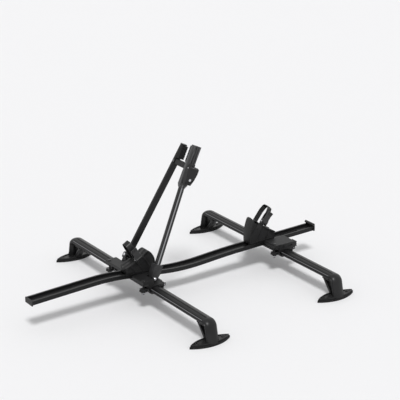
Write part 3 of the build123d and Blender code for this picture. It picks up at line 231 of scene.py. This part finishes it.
def anodised(name, turn=(0, 0, 0), stretch=(1, 1, 60), streak=0.0, paintedHighlight=None):
    # Black anodised aluminium: drawing lines along the profile, paler rubbed edges, and streaks or a painted highlight
    # stripe with painted shade round it
    # The 0.003 grey is painted shade, on each side of a painted highlight
    tone = {"base": 0.007, "line": 0.012, "rub": 0.075, "band": 0.003, "rough": 0.30}
    fade = 0.0008                # how far a lit line takes to fade out
    look = Finish(name, Metallic=0.0, Specular_IOR_Level=0.22 + streak * 6)
    lines = look.noise(look.placed(turn, stretch), 900, 2)
    broad = look.noise(look.places, 9, 4)
    rub = look.edges(0.0009) * look.noise(look.places, 160, 3).ramped(0.42, 0.66)
    body = look.mixed(lines, grey(tone["base"]), grey(tone["line"]))
    if streak:
        wide = look.noise(look.placed(turn, stretch), 170, 1).ramped(0.46, 0.60)
        body = look.mixed(wide, body, grey(streak))
    # Painted highlight: a pale stripe painted along the part, with a darker band of painted shade on each side
    if paintedHighlight:
        across = look.node("ShaderNodeSeparateXYZ", {}, {"Vector": look.placed(turn)}, paintedHighlight["axis"])
        away = look.node("ShaderNodeMath", {"operation": "ABSOLUTE"}, {0: across - paintedHighlight["middle"]})
        body = look.mixed(away.ramped(paintedHighlight["dark"], paintedHighlight["dark"] - fade), body, grey(tone["band"]))
        body = look.mixed(away.ramped(paintedHighlight["half"], paintedHighlight["half"] - fade), body, grey(paintedHighlight["tone"]))
    look.feed("Base Color", look.mixed(rub, body, grey(tone["rub"])))
    look.feed("Roughness", (lines * 0.10 + broad * 0.12) + (tone["rough"] - 0.10))
    look.bump(lines, 0.00004)
    return look.material


def powderCoat(name, base=0.008):
    # Powder-coated casting: an orange-peel skin, satin, with dull rubbed corners
    look = Finish(name, Specular_IOR_Level=0.25)
    peel = look.noise(look.places, 700, 2)
    broad = look.noise(look.places, 14, 3)
    rub = look.edges(0.0012) * look.noise(look.places, 120, 3).ramped(0.45, 0.7)
    body = look.mixed(broad.ramped(0.3, 0.7), grey(base), grey(base * 1.6))
    look.feed("Base Color", look.mixed(rub, body, grey(0.06)))
    look.feed("Roughness", broad * 0.14 + 0.26)
    look.bump(peel, 0.00012)
    return look.material


def moulded(name):
    # Moulded plastic: a fine spark-eroded grain, glossier where hands polish it
    base, rough = 0.007, 0.42
    look = Finish(name, Specular_IOR_Level=0.32)
    pits = look.noise(look.places, 1500, 2, 0.6)
    broad = look.noise(look.places, 22, 3)
    worn = look.edges(0.0014) * look.noise(look.places, 90, 2).ramped(0.40, 0.7)
    body = look.mixed(broad.ramped(0.25, 0.75), grey(base), grey(base * 1.45))
    look.feed("Base Color", look.mixed(worn, body, grey(base * 3.2)))
    look.feed("Roughness", (broad * 0.10 + pits * 0.08) + (rough - worn * 0.12))
    look.bump(pits, 0.0001)
    return look.material


def rubber(name, ribbed=False):
    # Black rubber: matte, faintly dusty, with fine ribs along the bars' strips
    look = Finish(name, Specular_IOR_Level=0.22)
    dust = look.noise(look.places, 45, 5, 0.6).ramped(0.5, 0.85)
    grain = look.noise(look.places, 2200, 2)
    look.feed("Base Color", look.mixed(dust, grey(0.007), grey(0.016)))
    look.feed("Roughness", dust * 0.12 + 0.66)
    if ribbed:
        ribs = look.node("ShaderNodeTexWave", {"bands_direction": "X"}, {"Vector": look.places, "Scale": 200.0})
        grain = ribs * 4 + grain
    look.bump(grain, 0.00012)
    return look.material


def strapPlastic(name):
    # Flexible strap plastic: smooth, a little waxy
    look = Finish(name, Specular_IOR_Level=0.35)
    broad = look.noise(look.places, 60, 3)
    look.feed("Base Color", look.mixed(broad.ramped(0.3, 0.7), grey(0.007), grey(0.012)))
    look.feed("Roughness", broad * 0.14 + 0.34)
    look.bump(look.noise(look.places, 1800, 1), 0.00004)
    return look.material


def coatedSteel(name, pitch=None):
    # Black coated steel that shows metal where it is rubbed; pitch gives it an upright thread's rings
    look = Finish(name, Specular_IOR_Level=0.5)
    patches = look.noise(look.places, 240, 4, 0.6)
    bare = look.edges(0.0006) * patches.ramped(0.5, 0.62)
    look.feed("Base Color", look.mixed(bare, grey(0.012), grey(0.30)))
    look.feed("Metallic", bare)
    look.feed("Roughness", patches * 0.16 + 0.30)
    if pitch:
        look.bump(threadRings(look, pitch), 0.0006)
    else:
        look.bump(patches, 0.00006)
    return look.material


def threadRings(look, pitch):
    scale = 1 / pitch / 3.183    # a wave texture has a band every 1 / (scale * 3.183) metres
    return look.node("ShaderNodeTexWave", {"bands_direction": "Z"}, {"Vector": look.placed(), "Scale": scale})


def brightSteel(name, dull=1.0):
    # Zinc-plated steel: brushed, with soft grey blooms; dull below 1 darkens it
    look = Finish(name, Metallic=1.0)
    brush = look.noise(look.placed(stretch=(1, 1, 25)), 1600, 2)
    bloom = look.noise(look.places, 130, 4, 0.6)
    look.feed("Base Color", look.mixed(bloom.ramped(0.35, 0.7), grey(0.66 * dull), grey(0.47 * dull)))
    look.feed("Roughness", brush * 0.16 + bloom * 0.14 + 0.14)
    look.bump(brush, 0.00003)
    return look.material


def dressNodes():
    finishes = {
        "black_anodised": anodised("anodisedAcross", (90, 0, 0)),
        "black_casting": powderCoat("powderCoat"),
        "black_rubber": rubber("blackRubber"),
        "black_plastic": moulded("mouldedPlastic"),
        "strap_plastic": strapPlastic("strapPlastic"),
        "black_steel": coatedSteel("coatedSteel"),
        "bright_steel": brightSteel("brightSteel"),
        "dull_steel": brightSteel("dullSteel", 0.22),
        # A paler copy of the casting finish, three times lighter, used on the near knuckle bracket
        "worn_casting": powderCoat("wornCasting", 0.024),
    }
    special = {
        "tray": anodised("anodisedTray", (0, 90, 0)),
        # The bars' noses and the near tube carry a painted highlight stripe with painted shade round it
        "crossbar_front": anodised("anodisedBarsPaintedHighlight", paintedHighlight=barPaintedHighlight, stretch=(1, 60, 1)),
        "arm_tube_near": anodised("anodisedTubePaintedHighlight", nearTubeTurn, streak=0.02, paintedHighlight=tubePaintedHighlight),
        "arm_head": anodised("castHead", nearTubeTurn, streak=0.06),
        "arm_far": anodised("anodisedFarArm", farArmTurn),
        "bar_strip_front": rubber("ribbedRubber", ribbed=True),
        "clamp_screws": coatedSteel("threadedSteel", threadPitch),
        "tension_rod": finishes["dull_steel"],
        "barrel_nut": finishes["dull_steel"],
        "head_wear_plate": coatedSteel("wearSteel"),
        "lever_cams": coatedSteel("camSteel"),
    }
    special["bar_strip_rear"] = special["bar_strip_front"]
    special["crossbar_rear"] = special["crossbar_front"]
    for name, node in nodes.items():
        for slot in node.material_slots:
            known = slot.material.name.split(".")[0]
            slot.material = special.get(name) or finishes[known]
    return finishes


# Shaping
smoothBelow = 30
sameSpot, sliver = 2e-6, 1e-6


def ringFace(mesh, count, place):
    # A closed ring with a face; place() sends each corner of the unit circle to its spot
    ring = bmesh.ops.create_circle(mesh, cap_ends=True, segments=count, radius=1.0)["verts"]
    for corner in ring:
        corner.co = place(corner.co.x, corner.co.y)
    return ring[0].link_faces[0]


def cornersFace(mesh, places):
    return mesh.faces.new([mesh.verts.new(place) for place in places])


def drawnOut(mesh, face, shift, keep=False):
    # Extrudes a face along shift and returns the new end face
    made = bmesh.ops.extrude_face_region(mesh, geom=[face, *face.edges, *face.verts], use_keep_orig=keep)["geom"]
    bmesh.ops.translate(mesh, verts=[g for g in made if isinstance(g, bmesh.types.BMVert)], vec=shift)
    return next(g for g in made if isinstance(g, bmesh.types.BMFace))


def block(mesh, low, high):
    low, high = Vector(low), Vector(high)
    place = Matrix.Translation((low + high) / 2) @ Matrix.Diagonal((*(high - low), 1))
    return bmesh.ops.create_cube(mesh, size=1.0, matrix=place)["verts"]


def rod(mesh, start, end, radius, segments=28):
    start, end = Vector(start), Vector(end)
    turn = (end - start).to_track_quat("Z", "Y").to_matrix().to_4x4()
    sizes = {"radius1": radius, "radius2": radius, "depth": (end - start).length}
    place = Matrix.Translation((start + end) / 2) @ turn
    return bmesh.ops.create_cone(mesh, cap_ends=True, segments=segments, matrix=place, **sizes)["verts"]


def turned(mesh, centre, along, profile, steps=40):
    # A full turn of a closed outline of (radius, height) pairs about a line through centre
    centre, along = Vector(centre), Vector(along).normalized()
    side = along.orthogonal().normalized()
    corners = [mesh.verts.new(centre + side * r + along * h) for r, h in profile]
    offLine = [n for n in range(len(corners)) if profile[n - 1][0] or profile[n][0]]
    edges = [mesh.edges.new((corners[n - 1], corners[n])) for n in offLine]
    spin = {"cent": centre, "axis": along, "angle": math.tau, "steps": steps, "use_merge": True}
    bmesh.ops.spin(mesh, geom=corners + edges, use_duplicate=False, **spin)


def rounded(mesh, edges, width, segments):
    bevel = {"offset": width, "segments": segments, "profile": 0.5, "affect": "EDGES", "material": -1}
    bmesh.ops.bevel(mesh, geom=edges, clamp_overlap=True, **bevel)


def soften(mesh, width, sharp=35, segments=2):
    # Rounds every edge that turns more than sharp degrees
    bmesh.ops.recalc_face_normals(mesh, faces=mesh.faces)
    edges = [e for e in mesh.edges if len(e.link_faces) == 2 and e.calc_face_angle(0) > math.radians(sharp)]
    rounded(mesh, edges, width, segments)


def joined(mesh, other):
    # Adds the other shape's faces to mesh
    kept = bpy.data.meshes.new("kept")
    other.to_mesh(kept)
    other.free()
    mesh.from_mesh(kept)
    bpy.data.meshes.remove(kept)


def cutAway(mesh, cutter):
    # The shape less the cutter, by a Boolean modifier that is applied at once
    bmesh.ops.recalc_face_normals(mesh, faces=mesh.faces)
    bmesh.ops.recalc_face_normals(cutter, faces=cutter.faces)
    body, tool = asObject(mesh, "body", None), asObject(cutter, "tool", None)
    carve = body.modifiers.new("carve", "BOOLEAN")
    carve.operation, carve.solver, carve.object = "DIFFERENCE", "EXACT", tool
    left = bpy.data.meshes.new_from_object(body.evaluated_get(bpy.context.evaluated_depsgraph_get()))
    result = bmesh.new()
    result.from_mesh(left)
    for used in (body.data, tool.data, left):
        bpy.data.meshes.remove(used)
    return result


def piece(mesh, name, body, slotName, stands=(), look=None):
    # The finished piece: it rides on body, wears the slot's finish and stands for the nodes named
    bmesh.ops.remove_doubles(mesh, verts=mesh.verts, dist=sameSpot)
    bmesh.ops.dissolve_degenerate(mesh, edges=mesh.edges, dist=sliver)
    bmesh.ops.holes_fill(mesh, edges=[e for e in mesh.edges if e.is_boundary])
    bmesh.ops.recalc_face_normals(mesh, faces=mesh.faces)
    thing = asObject(mesh, name, look or finishes[slotName], smoothBelow)
    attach(thing, body)
    if stands:
        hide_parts(*stands)


# Legs: the bar's section bends down to a pointed flange, with a slanted brace inside
leg = {
    "nose": 0.024, "tail": 0.030, "halfHeight": 0.014,
    "barZ": 0.086, "barUnder": 0.0718,
    "straight": 0.004, "bend": 0.022, "angle": 78.0,
    "groove": (10.5, 20.5), "grooveDepth": 0.0022,     # degrees round the nose, and depth
    "collar": 0.013, "flare": 1.10,
    "padTop": 0.009, "flangeTop": 0.016,
    "flangeAhead": 0.02375,                            # the flange's middle past the bar's end
    "flangeSize": (0.090, 0.0275), "padSize": (0.0945, 0.0315),
    "recessSize": (0.0825, 0.0235), "recess": 0.003,
    "tipRound": 0.006, "clear": 0.0002,
    "holeSide": 0.061, "hole": 0.0033,
    "boss": 0.0075, "bossLow": 0.0095, "bossTop": 0.0159, "bossEdge": 0.0007,
    "braceWidth": 0.030, "braceRun": 0.015, "braceReach": 0.050, "braceFoot": -0.001, "braceLow": 0.012,
    "bracePlate": 0.006, "plateEnd": 0.004,
    "edges": {"flange": 0.0007, "pad": 0.0010, "brace": 0.0012},
}


def pointedOval(centre, size, low, high):
    # A pointed oval of two arcs, with rounded tips
    mesh = bmesh.new()
    length, width = size
    arc = (length * length + width * width) / (2 * width)

    def outline(x, y):
        reach = math.sqrt(arc * arc - (x * length) ** 2) - (arc - width)
        return Vector((centre[0] + x * length, centre[1] + math.copysign(max(reach, 0), y), low))

    drawnOut(mesh, ringFace(mesh, 72, outline), (0, 0, high - low), keep=True)
    upright = [e for e in mesh.edges if abs(e.verts[0].co.z - e.verts[1].co.z) > 0.001]
    tips = [e for e in upright if abs(abs(e.verts[0].co.x - centre[0]) - length) < 1e-5]
    rounded(mesh, tips, leg["tipRound"], 4)
    return mesh


def footHoles(middle):
    tool = bmesh.new()
    for side in (-1, 1):
        x = middle[0] + side * leg["holeSide"]
        rod(tool, (x, middle[1], -0.01), (x, middle[1], 0.05), leg["hole"])
    return tool


def makeLeg(barNode, which, side):
    low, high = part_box(barNode)
    barX, barEnd = low.x + leg["nose"], high.y
    lean = math.radians(leg["angle"])
    mesh = bmesh.new()

    def outline(x, y):
        turn = math.degrees(math.atan2(abs(y), -x))
        cut = leg["grooveDepth"] if leg["groove"][0] < turn < leg["groove"][1] else 0
        reach = leg["tail"] if x > 0 else leg["nose"]
        return Vector((barX + x * reach + cut, barEnd + leg["clear"], leg["barZ"] + y * leg["halfHeight"]))

    face = drawnOut(mesh, ringFace(mesh, 96, outline), (0, leg["straight"], 0), keep=True)
    centre = (barX, barEnd + leg["straight"], leg["barZ"] - leg["bend"])
    spin = {"cent": centre, "axis": (1, 0, 0), "dvec": (0, 0, 0), "angle": -lean, "steps": 14, "use_merge": False}
    last = bmesh.ops.spin(mesh, geom=[face, *face.edges, *face.verts], use_duplicate=False, **spin)["geom_last"]
    face = next(g for g in last if isinstance(g, bmesh.types.BMFace))
    down = Vector((0, math.cos(lean), -math.sin(lean)))
    bendEnd = leg["barZ"] - leg["bend"] * (1 - math.cos(lean))
    collarTop = leg["flangeTop"] + leg["collar"]
    face = drawnOut(mesh, face, down * (bendEnd - collarTop) / math.sin(lean))
    face = drawnOut(mesh, face, down * (collarTop - leg["padTop"] + 0.004) / math.sin(lean))
    foot = face.calc_center_median()
    for corner in face.verts:
        corner.co = foot + (corner.co - foot) * leg["flare"]
    flat = {"plane_co": (0, 0, leg["padTop"] + 0.0003), "plane_no": (0, 0, -1), "clear_outer": True}
    bmesh.ops.bisect_plane(mesh, geom=[*mesh.verts, *mesh.edges, *mesh.faces], dist=sliver, **flat)
    bmesh.ops.holes_fill(mesh, edges=[e for e in mesh.edges if len(e.link_faces) == 1])

    middle = (barX, barEnd + leg["flangeAhead"])
    flange = pointedOval(middle, leg["flangeSize"], leg["padTop"] + leg["clear"], leg["flangeTop"])
    soften(flange, leg["edges"]["flange"])
    recess = pointedOval(middle, leg["recessSize"], leg["flangeTop"] - leg["recess"], leg["flangeTop"] + 0.01)
    flange = cutAway(flange, recess)
    joined(mesh, cutAway(flange, footHoles(middle)))
    hole, boss, bossLow, bossTop = leg["hole"], leg["boss"], leg["bossLow"], leg["bossTop"]
    bossSide = (boss, bossTop - leg["bossEdge"]), (boss - leg["bossEdge"], bossTop)
    for end in (-1, 1):
        spot = (middle[0] + end * leg["holeSide"], middle[1], 0)
        turned(mesh, spot, (0, 0, 1), ((hole, bossLow), (boss, bossLow), *bossSide, (hole, bossTop)), 28)

    brace = bmesh.new()
    halfWidth, middleX = leg["braceWidth"] / 2, barX + (leg["tail"] - leg["nose"]) / 2
    lowX, highX, under = middleX - halfWidth, middleX + halfWidth, leg["barUnder"]
    topY, footY, run = barEnd - leg["braceReach"], barEnd + leg["braceFoot"], leg["braceRun"]
    slant = ((topY, under), (topY + run, under), (footY + run, leg["braceLow"]), (footY, leg["braceLow"]))
    drawnOut(brace, cornersFace(brace, [(lowX, y, z) for y, z in slant]), (leg["braceWidth"], 0, 0), keep=True)
    block(brace, (lowX, topY, under - leg["bracePlate"]), (highX, barEnd + leg["plateEnd"], under))
    soften(brace, leg["edges"]["brace"])
    joined(mesh, brace)
    if side < 0:
        bmesh.ops.scale(mesh, vec=(1, -1, 1), verts=mesh.verts)
    name = f"leg_{which}_{'near' if side < 0 else 'far'}"
    piece(mesh, "cast_" + name, "rack", "black_casting", [name])


def makeFootPads(barNode, which):
    low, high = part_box(barNode)
    both = bmesh.new()
    for side in (-1, 1):
        middle = (low.x + leg["nose"], high.y + leg["flangeAhead"])
        pad = pointedOval(middle, leg["padSize"], 0.0, leg["padTop"])
        soften(pad, leg["edges"]["pad"])
        pad = cutAway(pad, footHoles(middle))
        if side < 0:
            bmesh.ops.scale(pad, vec=(1, -1, 1), verts=pad.verts)
        joined(both, pad)
    piece(both, "soft_pads_" + which, "rack", "black_rubber", ["foot_pads_" + which])


# Wheel chocks: rounded humps with a hollow for the tyre and ribbed pockets in the sides
chocks = {
    "tyreLine": 0.341, "cheek": 0.332, "tyre": 0.0168, "trayY": -0.025,
    "width": 0.050, "rim": 0.0045, "pocket": 0.0028, "rib": 0.0045, "crown": 0.0065,
    "pocketSlope": 0.0006, "edge": 0.0008, "ribEdge": 0.0006, "ribShares": (0.22, 0.5, 0.78),
    "front": {
        "hub": (-0.375, 0.480), "side": 1, "toe": 19.0, "top": 38.0, "foot": 0.1405, "heel": (0.2375, 0.1255),
        "bulge": 0.17, "crownRun": 0.012,
    },
    "rear": {
        "hub": (0.6178, 0.4635), "side": -1, "toe": 24.5, "top": 46.0, "foot": 0.1288, "heel": (0.2660, 0.1257),
        "bulge": 0.07, "crownRun": 0.010,
    },
}


def makeChock(which, body):
    own = chocks[which]
    hubX, hubZ = own["hub"]

    def onTread(angle, radius):
        return radius * math.sin(math.radians(angle)), hubZ - radius * math.cos(math.radians(angle))

    spread, steps = own["top"] - own["toe"], 14
    cheek = [onTread(own["toe"] + spread * n / steps, chocks["cheek"]) for n in range(steps + 1)]
    (topU, topZ), (heelU, heelZ) = cheek[-1], own["heel"]
    topU += own["crownRun"]
    run, fall = heelU - topU, topZ - heelZ
    pull = (topU + heelU) / 2 + 2 * own["bulge"] * fall, (topZ + heelZ) / 2 + 2 * own["bulge"] * run
    curve = list(zip((topU, topZ), pull, (heelU, heelZ)))
    shares = [n / 12 for n in range(13)]
    back = [tuple((1 - t) ** 2 * a + 2 * t * (1 - t) * b + t * t * c for a, b, c in curve) for t in shares]
    outline = [(cheek[0][0], own["foot"]), *cheek, *back]
    nearY = chocks["trayY"] - chocks["width"] / 2
    mesh = bmesh.new()
    drawnOut(mesh, cornersFace(mesh, [(u, nearY, z) for u, z in outline]), (0, chocks["width"], 0), keep=True)
    level = [e for e in mesh.edges if abs(e.verts[0].co.y - e.verts[1].co.y) > 0.01]
    rounded(mesh, [e for e in level if e.verts[0].co.z > topZ - 0.0002], chocks["crown"], 4)
    bmesh.ops.recalc_face_normals(mesh, faces=mesh.faces)
    for end in (nearY, nearY + chocks["width"]):
        cheeks = [f for f in mesh.faces if abs(f.calc_center_median().y - end) < 1e-4]
        bmesh.ops.inset_region(mesh, faces=cheeks, thickness=chocks["rim"], depth=0, use_even_offset=True)
        cheeks = [f for f in mesh.faces if abs(f.calc_center_median().y - end) < 1e-4]
        inner = max(cheeks, key=lambda f: f.calc_area())
        sink = {"thickness": chocks["pocketSlope"], "depth": -chocks["pocket"], "use_even_offset": True}
        bmesh.ops.inset_region(mesh, faces=[inner], **sink)
    tool = bmesh.new()
    hollow = bmesh.ops.create_circle(tool, segments=28, radius=chocks["tyre"])["verts"]
    place = Matrix.Translation((chocks["tyreLine"] - 0.016, chocks["trayY"], hubZ))
    bmesh.ops.transform(tool, matrix=place, verts=hollow)
    spin = {"cent": (0, chocks["trayY"], hubZ), "axis": (0, 1, 0), "angle": math.tau, "steps": 180, "use_merge": True}
    bmesh.ops.spin(tool, geom=[*hollow, *tool.edges], use_duplicate=False, **spin)
    mesh = cutAway(mesh, tool)
    soften(mesh, chocks["edge"], 40)
    hub = Vector((0, chocks["trayY"], hubZ))
    halfRib, outer = chocks["rib"] / 2, chocks["width"] / 2 - 0.0006
    for share in chocks["ribShares"]:
        angle = math.radians(own["toe"] + spread * share)
        reach = (hubZ - heelZ - 0.006) / math.cos(angle)
        if math.sin(angle) * reach > heelU - 0.006:
            reach = (heelU - 0.008) / math.sin(angle)
        for end in (-1, 1):
            rib = bmesh.new()
            block(rib, (-halfRib, end * outer, chocks["cheek"] + 0.003), (halfRib, end * (outer - 0.0035), reach))
            turn = Matrix.Rotation(math.pi - angle, 4, "Y")
            bmesh.ops.transform(rib, matrix=Matrix.Translation(hub) @ turn, verts=rib.verts)
            soften(rib, chocks["ribEdge"])
            joined(mesh, rib)
    for corner in mesh.verts:
        corner.co.x = hubX + own["side"] * corner.co.x
    piece(mesh, "hump_" + which, body, "black_plastic", ["chock_" + which])


# Straps: ladder teeth on the strap plastic, on the side away from the rim
ladder = {
    "front": {"angle": 30.0}, "rear": {"angle": 39.0},
    "halfBase": 0.020, "halfTop": 0.0155, "top": 0.092,
    "thick": 0.0024, "width": 0.019, "tooth": 0.0009, "pitch": 0.0036,
    "corner": 0.009, "tyreRadius": 0.341,
}


def strapPlace(which):
    own, angle = chocks[which], math.radians(ladder[which]["angle"])
    along = Vector((math.cos(angle), 0, own["side"] * math.sin(angle)))
    across = Vector((0, 1, 0))
    up = along.cross(across)
    (hubX, hubZ), radius = own["hub"], ladder["tyreRadius"]
    origin = Vector((hubX + own["side"] * radius * math.sin(angle), chocks["trayY"], hubZ - radius * math.cos(angle)))
    turn = Matrix((across, up, along)).transposed().to_4x4()
    return Matrix.Translation(origin) @ turn


def makeLadder(which, body):
    mesh = bmesh.new()
    base, top, high, corner = ladder["halfBase"], ladder["halfTop"], ladder["top"], ladder["corner"]
    runs = [
        ((-base, 0.060), (-top, high - corner)), ((-top + corner, high), (top - corner, high)),
        ((top, high - corner), (base, 0.060)), ((base, 0.058), (base, 0.022)),
    ]
    half = Vector((0, 0, ladder["width"] / 2))
    for start, end in runs:
        start, end = Vector((*start, 0)), Vector((*end, 0))
        way = (end - start).normalized()
        out = Vector((-way.y, way.x, 0))
        count = int((end - start).length / ladder["pitch"])
        for n in range(count + 1):
            spot = start + way * (n * ladder["pitch"]) + out * (ladder["thick"] / 2 - 0.0003)
            tip = spot + out * ladder["tooth"]
            tooth = [spot - way * 0.0013, spot + way * 0.0013, tip + way * 0.0005, tip - way * 0.0011]
            drawnOut(mesh, cornersFace(mesh, [t - half for t in tooth]), 2 * half, keep=True)
    bmesh.ops.transform(mesh, matrix=strapPlace(which), verts=mesh.verts)
    piece(mesh, "ladder_" + which, body, "strap_plastic")


# Buckles: grip ridges on the ratchet lever's thumb end, and a riveted head on each end of its pin
buckle = {
    "seat": -0.0213, "pinBack": 0.009, "start": 0.013, "half": 0.0165,
    "dome": ((0, 0), (0.0034, 0), (0.0034, 0.0003), (0.0026, 0.0011), (0.0012, 0.0015), (0, 0.0016)),
    "ridges": 5, "ridgePitch": 0.0026, "ridgeRadius": 0.0008, "ridgeHalf": 0.0105,
}


def makeBuckleDetail(which, body):
    v, u = buckle["seat"] - buckle["pinBack"], buckle["start"] + buckle["pinBack"]
    heads = bmesh.new()
    for side in (-1, 1):
        spot = Vector((v, u, side * (buckle["half"] - 0.0002)))
        turned(heads, spot, (0, 0, side), buckle["dome"], 24)
    bmesh.ops.remove_doubles(heads, verts=heads.verts, dist=sliver)
    bmesh.ops.transform(heads, matrix=strapPlace(which), verts=heads.verts)
    piece(heads, "rivets_" + which, body, "bright_steel")
    grip = bmesh.new()
    for n in range(buckle["ridges"]):
        y = u + 0.0485 - n * buckle["ridgePitch"]
        x = v - 0.0038 - 0.0040 * (y - u - 0.0364) / 0.0156    # the lever's face leans out towards its end
        rod(grip, (x, y, -buckle["ridgeHalf"]), (x, y, buckle["ridgeHalf"]), buckle["ridgeRadius"], segments=10)
    bmesh.ops.transform(grip, matrix=strapPlace(which), verts=grip.verts)
    piece(grip, "grip_" + which, "buckle_lever_" + which, "black_steel")


# Pivot bolts: button heads with a hexagon socket, on washers
pivot = {
    "x": -0.173, "z": 0.1195, "shank": 0.005, "head": 0.0072, "socket": 0.0027, "socketDepth": 0.0032,
    "bolts": ((-0.064, -0.1125, -0.118), (0.077, 0.1255, 0.131)),    # inner end, seat and outer end of each
}


def makePivotBolts():
    mesh = bmesh.new()
    head = pivot["head"]

    def onAxis(y):
        return pivot["x"], y, pivot["z"]

    for inner, seat, end in pivot["bolts"]:
        side = 1 if end > seat else -1
        tall = abs(end - seat)
        rod(mesh, onAxis(inner), onAxis(seat + side * 0.001), pivot["shank"])
        rim = (0, 0.0001), (head, 0.0001), (head, 0.0010), (head * 0.95, 0.0022)
        crown = (head * 0.80, tall * 0.74), (head * 0.60, tall * 0.97), (head * 0.46, tall), (0, tall)
        dome = bmesh.new()
        turned(dome, onAxis(seat), (0, side, 0), (*rim, *crown), 36)
        bmesh.ops.remove_doubles(dome, verts=dome.verts, dist=sliver)
        socket = bmesh.new()
        rod(socket, onAxis(end + side * 0.001), onAxis(end - side * pivot["socketDepth"]), pivot["socket"], segments=6)
        joined(mesh, cutAway(dome, socket))
    piece(mesh, "pivot_bolts_socket", "rack", "bright_steel", ["pivot_bolts"])


# Near knuckle: the pivot's eye widens into a bracket that holds the near tube
knuckle = {
    "pivot": (-0.173, -0.1, 0.1195), "eye": 0.0135, "halfEye": 0.0117, "bore": 0.0052,
    "low": 0.024, "high": 0.058, "halfWidth": 0.0180, "halfDepth": 0.0155, "edge": 0.0022,
    "tube": 0.0126, "tubeStart": 0.034, "tubeEnd": 0.09,
}


def makeKnuckle():
    own = knuckle
    upright = Matrix.Translation(own["pivot"]) @ Matrix.Rotation(math.radians(armLean), 4, "Y")
    leaning = upright @ Matrix.Rotation(math.radians(nearTilt), 4, "X")
    mesh = bmesh.new()
    eye = rod(mesh, (0, -own["halfEye"], 0), (0, own["halfEye"], 0), own["eye"], segments=40)
    bmesh.ops.transform(mesh, matrix=upright, verts=eye)
    wide, deep = own["halfWidth"], own["halfDepth"]
    holder = block(mesh, (-wide, -deep, own["low"]), (wide, deep, own["high"]))
    bmesh.ops.transform(mesh, matrix=leaning, verts=holder)
    bmesh.ops.delete(mesh, geom=mesh.faces[:], context="FACES_ONLY")
    bmesh.ops.convex_hull(mesh, input=mesh.verts)
    bmesh.ops.delete(mesh, geom=[v for v in mesh.verts if not v.link_faces], context="VERTS")
    bmesh.ops.delete(mesh, geom=[e for e in mesh.edges if not e.link_faces], context="EDGES")
    bmesh.ops.dissolve_limit(mesh, angle_limit=math.radians(1), verts=mesh.verts, edges=mesh.edges)
    soften(mesh, own["edge"], 40, 3)
    bore = bmesh.new()
    rod(bore, (0, -0.03, 0), (0, 0.03, 0), own["bore"])
    bmesh.ops.transform(bore, matrix=upright, verts=bore.verts)
    tube = bmesh.new()
    rod(tube, (0, 0, own["tubeStart"]), (0, 0, own["tubeEnd"]), own["tube"], segments=48)
    bmesh.ops.transform(tube, matrix=leaning, verts=tube.verts)
    mesh = cutAway(cutAway(mesh, bore), tube)
    piece(mesh, "knuckle_bracket", "frame_arm", "black_casting", ["arm_knuckle_near"], finishes["worn_casting"])


# Clamp lever: grip ridges near its end and a dark ring round the lock
lever = {
    "ridges": 4, "first": -0.0655, "pitch": 0.0034, "halfWidth": 0.0115, "ridgeRadius": 0.0009,
    "ring": (0.0057, 0.0074), "lockZ": -0.046, "lockTurn": (0, -1, -0.235),
}


def makeLeverDetail():
    pinLow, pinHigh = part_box("lever_pin")
    pin = (pinLow + pinHigh) / 2
    place = Matrix.Translation(pin) @ Matrix.Rotation(math.radians(armLean), 4, "Y")

    def outerY(z):
        # The lever's outer face, at height z from its pin
        return -0.0095 + 0.008 * (z + 0.034) / -0.034

    grip = bmesh.new()
    for n in range(lever["ridges"]):
        z, wide = lever["first"] + n * lever["pitch"], lever["halfWidth"]
        rod(grip, (-wide, outerY(z), z), (wide, outerY(z), z), lever["ridgeRadius"], segments=12)
    bmesh.ops.transform(grip, matrix=place, verts=grip.verts)
    piece(grip, "lever_grip", "clamp_lever", "black_plastic")
    ring = bmesh.new()
    inner, outer = lever["ring"]
    centre = (0, outerY(lever["lockZ"]), lever["lockZ"])
    profile = ((inner, -0.001), (outer, -0.001), (outer, 0.0003), (outer - 0.0005, 0.0008), (inner, 0.0008))
    turned(ring, centre, lever["lockTurn"], profile, 40)
    bmesh.ops.transform(ring, matrix=place, verts=ring.verts)
    piece(ring, "lock_ring", "clamp_lever", "black_steel")


# Knobs: a hexagon nut under each hub, round the screw
nuts = {
    "radius": 0.0068, "thick": 0.0035, "edge": 0.0005, "hole": 0.0041,
    "knobs": ("front_near", "front_far", "rear_near", "rear_far"),
}


def makeKnobNuts():
    for name in nuts["knobs"]:
        low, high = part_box("clamp_knob_" + name)
        (x, y, _), bottom = (low + high) / 2, low.z
        nut = bmesh.new()
        rod(nut, (x, y, bottom - 0.0002), (x, y, bottom - nuts["thick"]), nuts["radius"], segments=6)
        soften(nut, nuts["edge"])
        hole = bmesh.new()
        rod(hole, (x, y, bottom + 0.002), (x, y, bottom - 0.006), nuts["hole"])
        piece(cutAway(nut, hole), "knob_nut_" + name, "knob_" + name, "bright_steel")


def makePieces():
    for which, barNode in (("front", "crossbar_front"), ("rear", "crossbar_rear")):
        for side in (-1, 1):
            makeLeg(barNode, which, side)
        makeFootPads(barNode, which)
    print("legs and pads made")
    for which, body in (("front", "rack"), ("rear", "rear_chock")):
        makeChock(which, body)
        makeLadder(which, body)
        makeBuckleDetail(which, body)
    print("chocks, ladders and buckles made")
    makePivotBolts()
    makeKnuckle()
    makeLeverDetail()
    makeKnobNuts()
    print("bolts, lever and knobs made")


makeCamera()
makeStudio()
finishes = dressNodes()
print("materials on", len(nodes), "nodes")
makePieces()
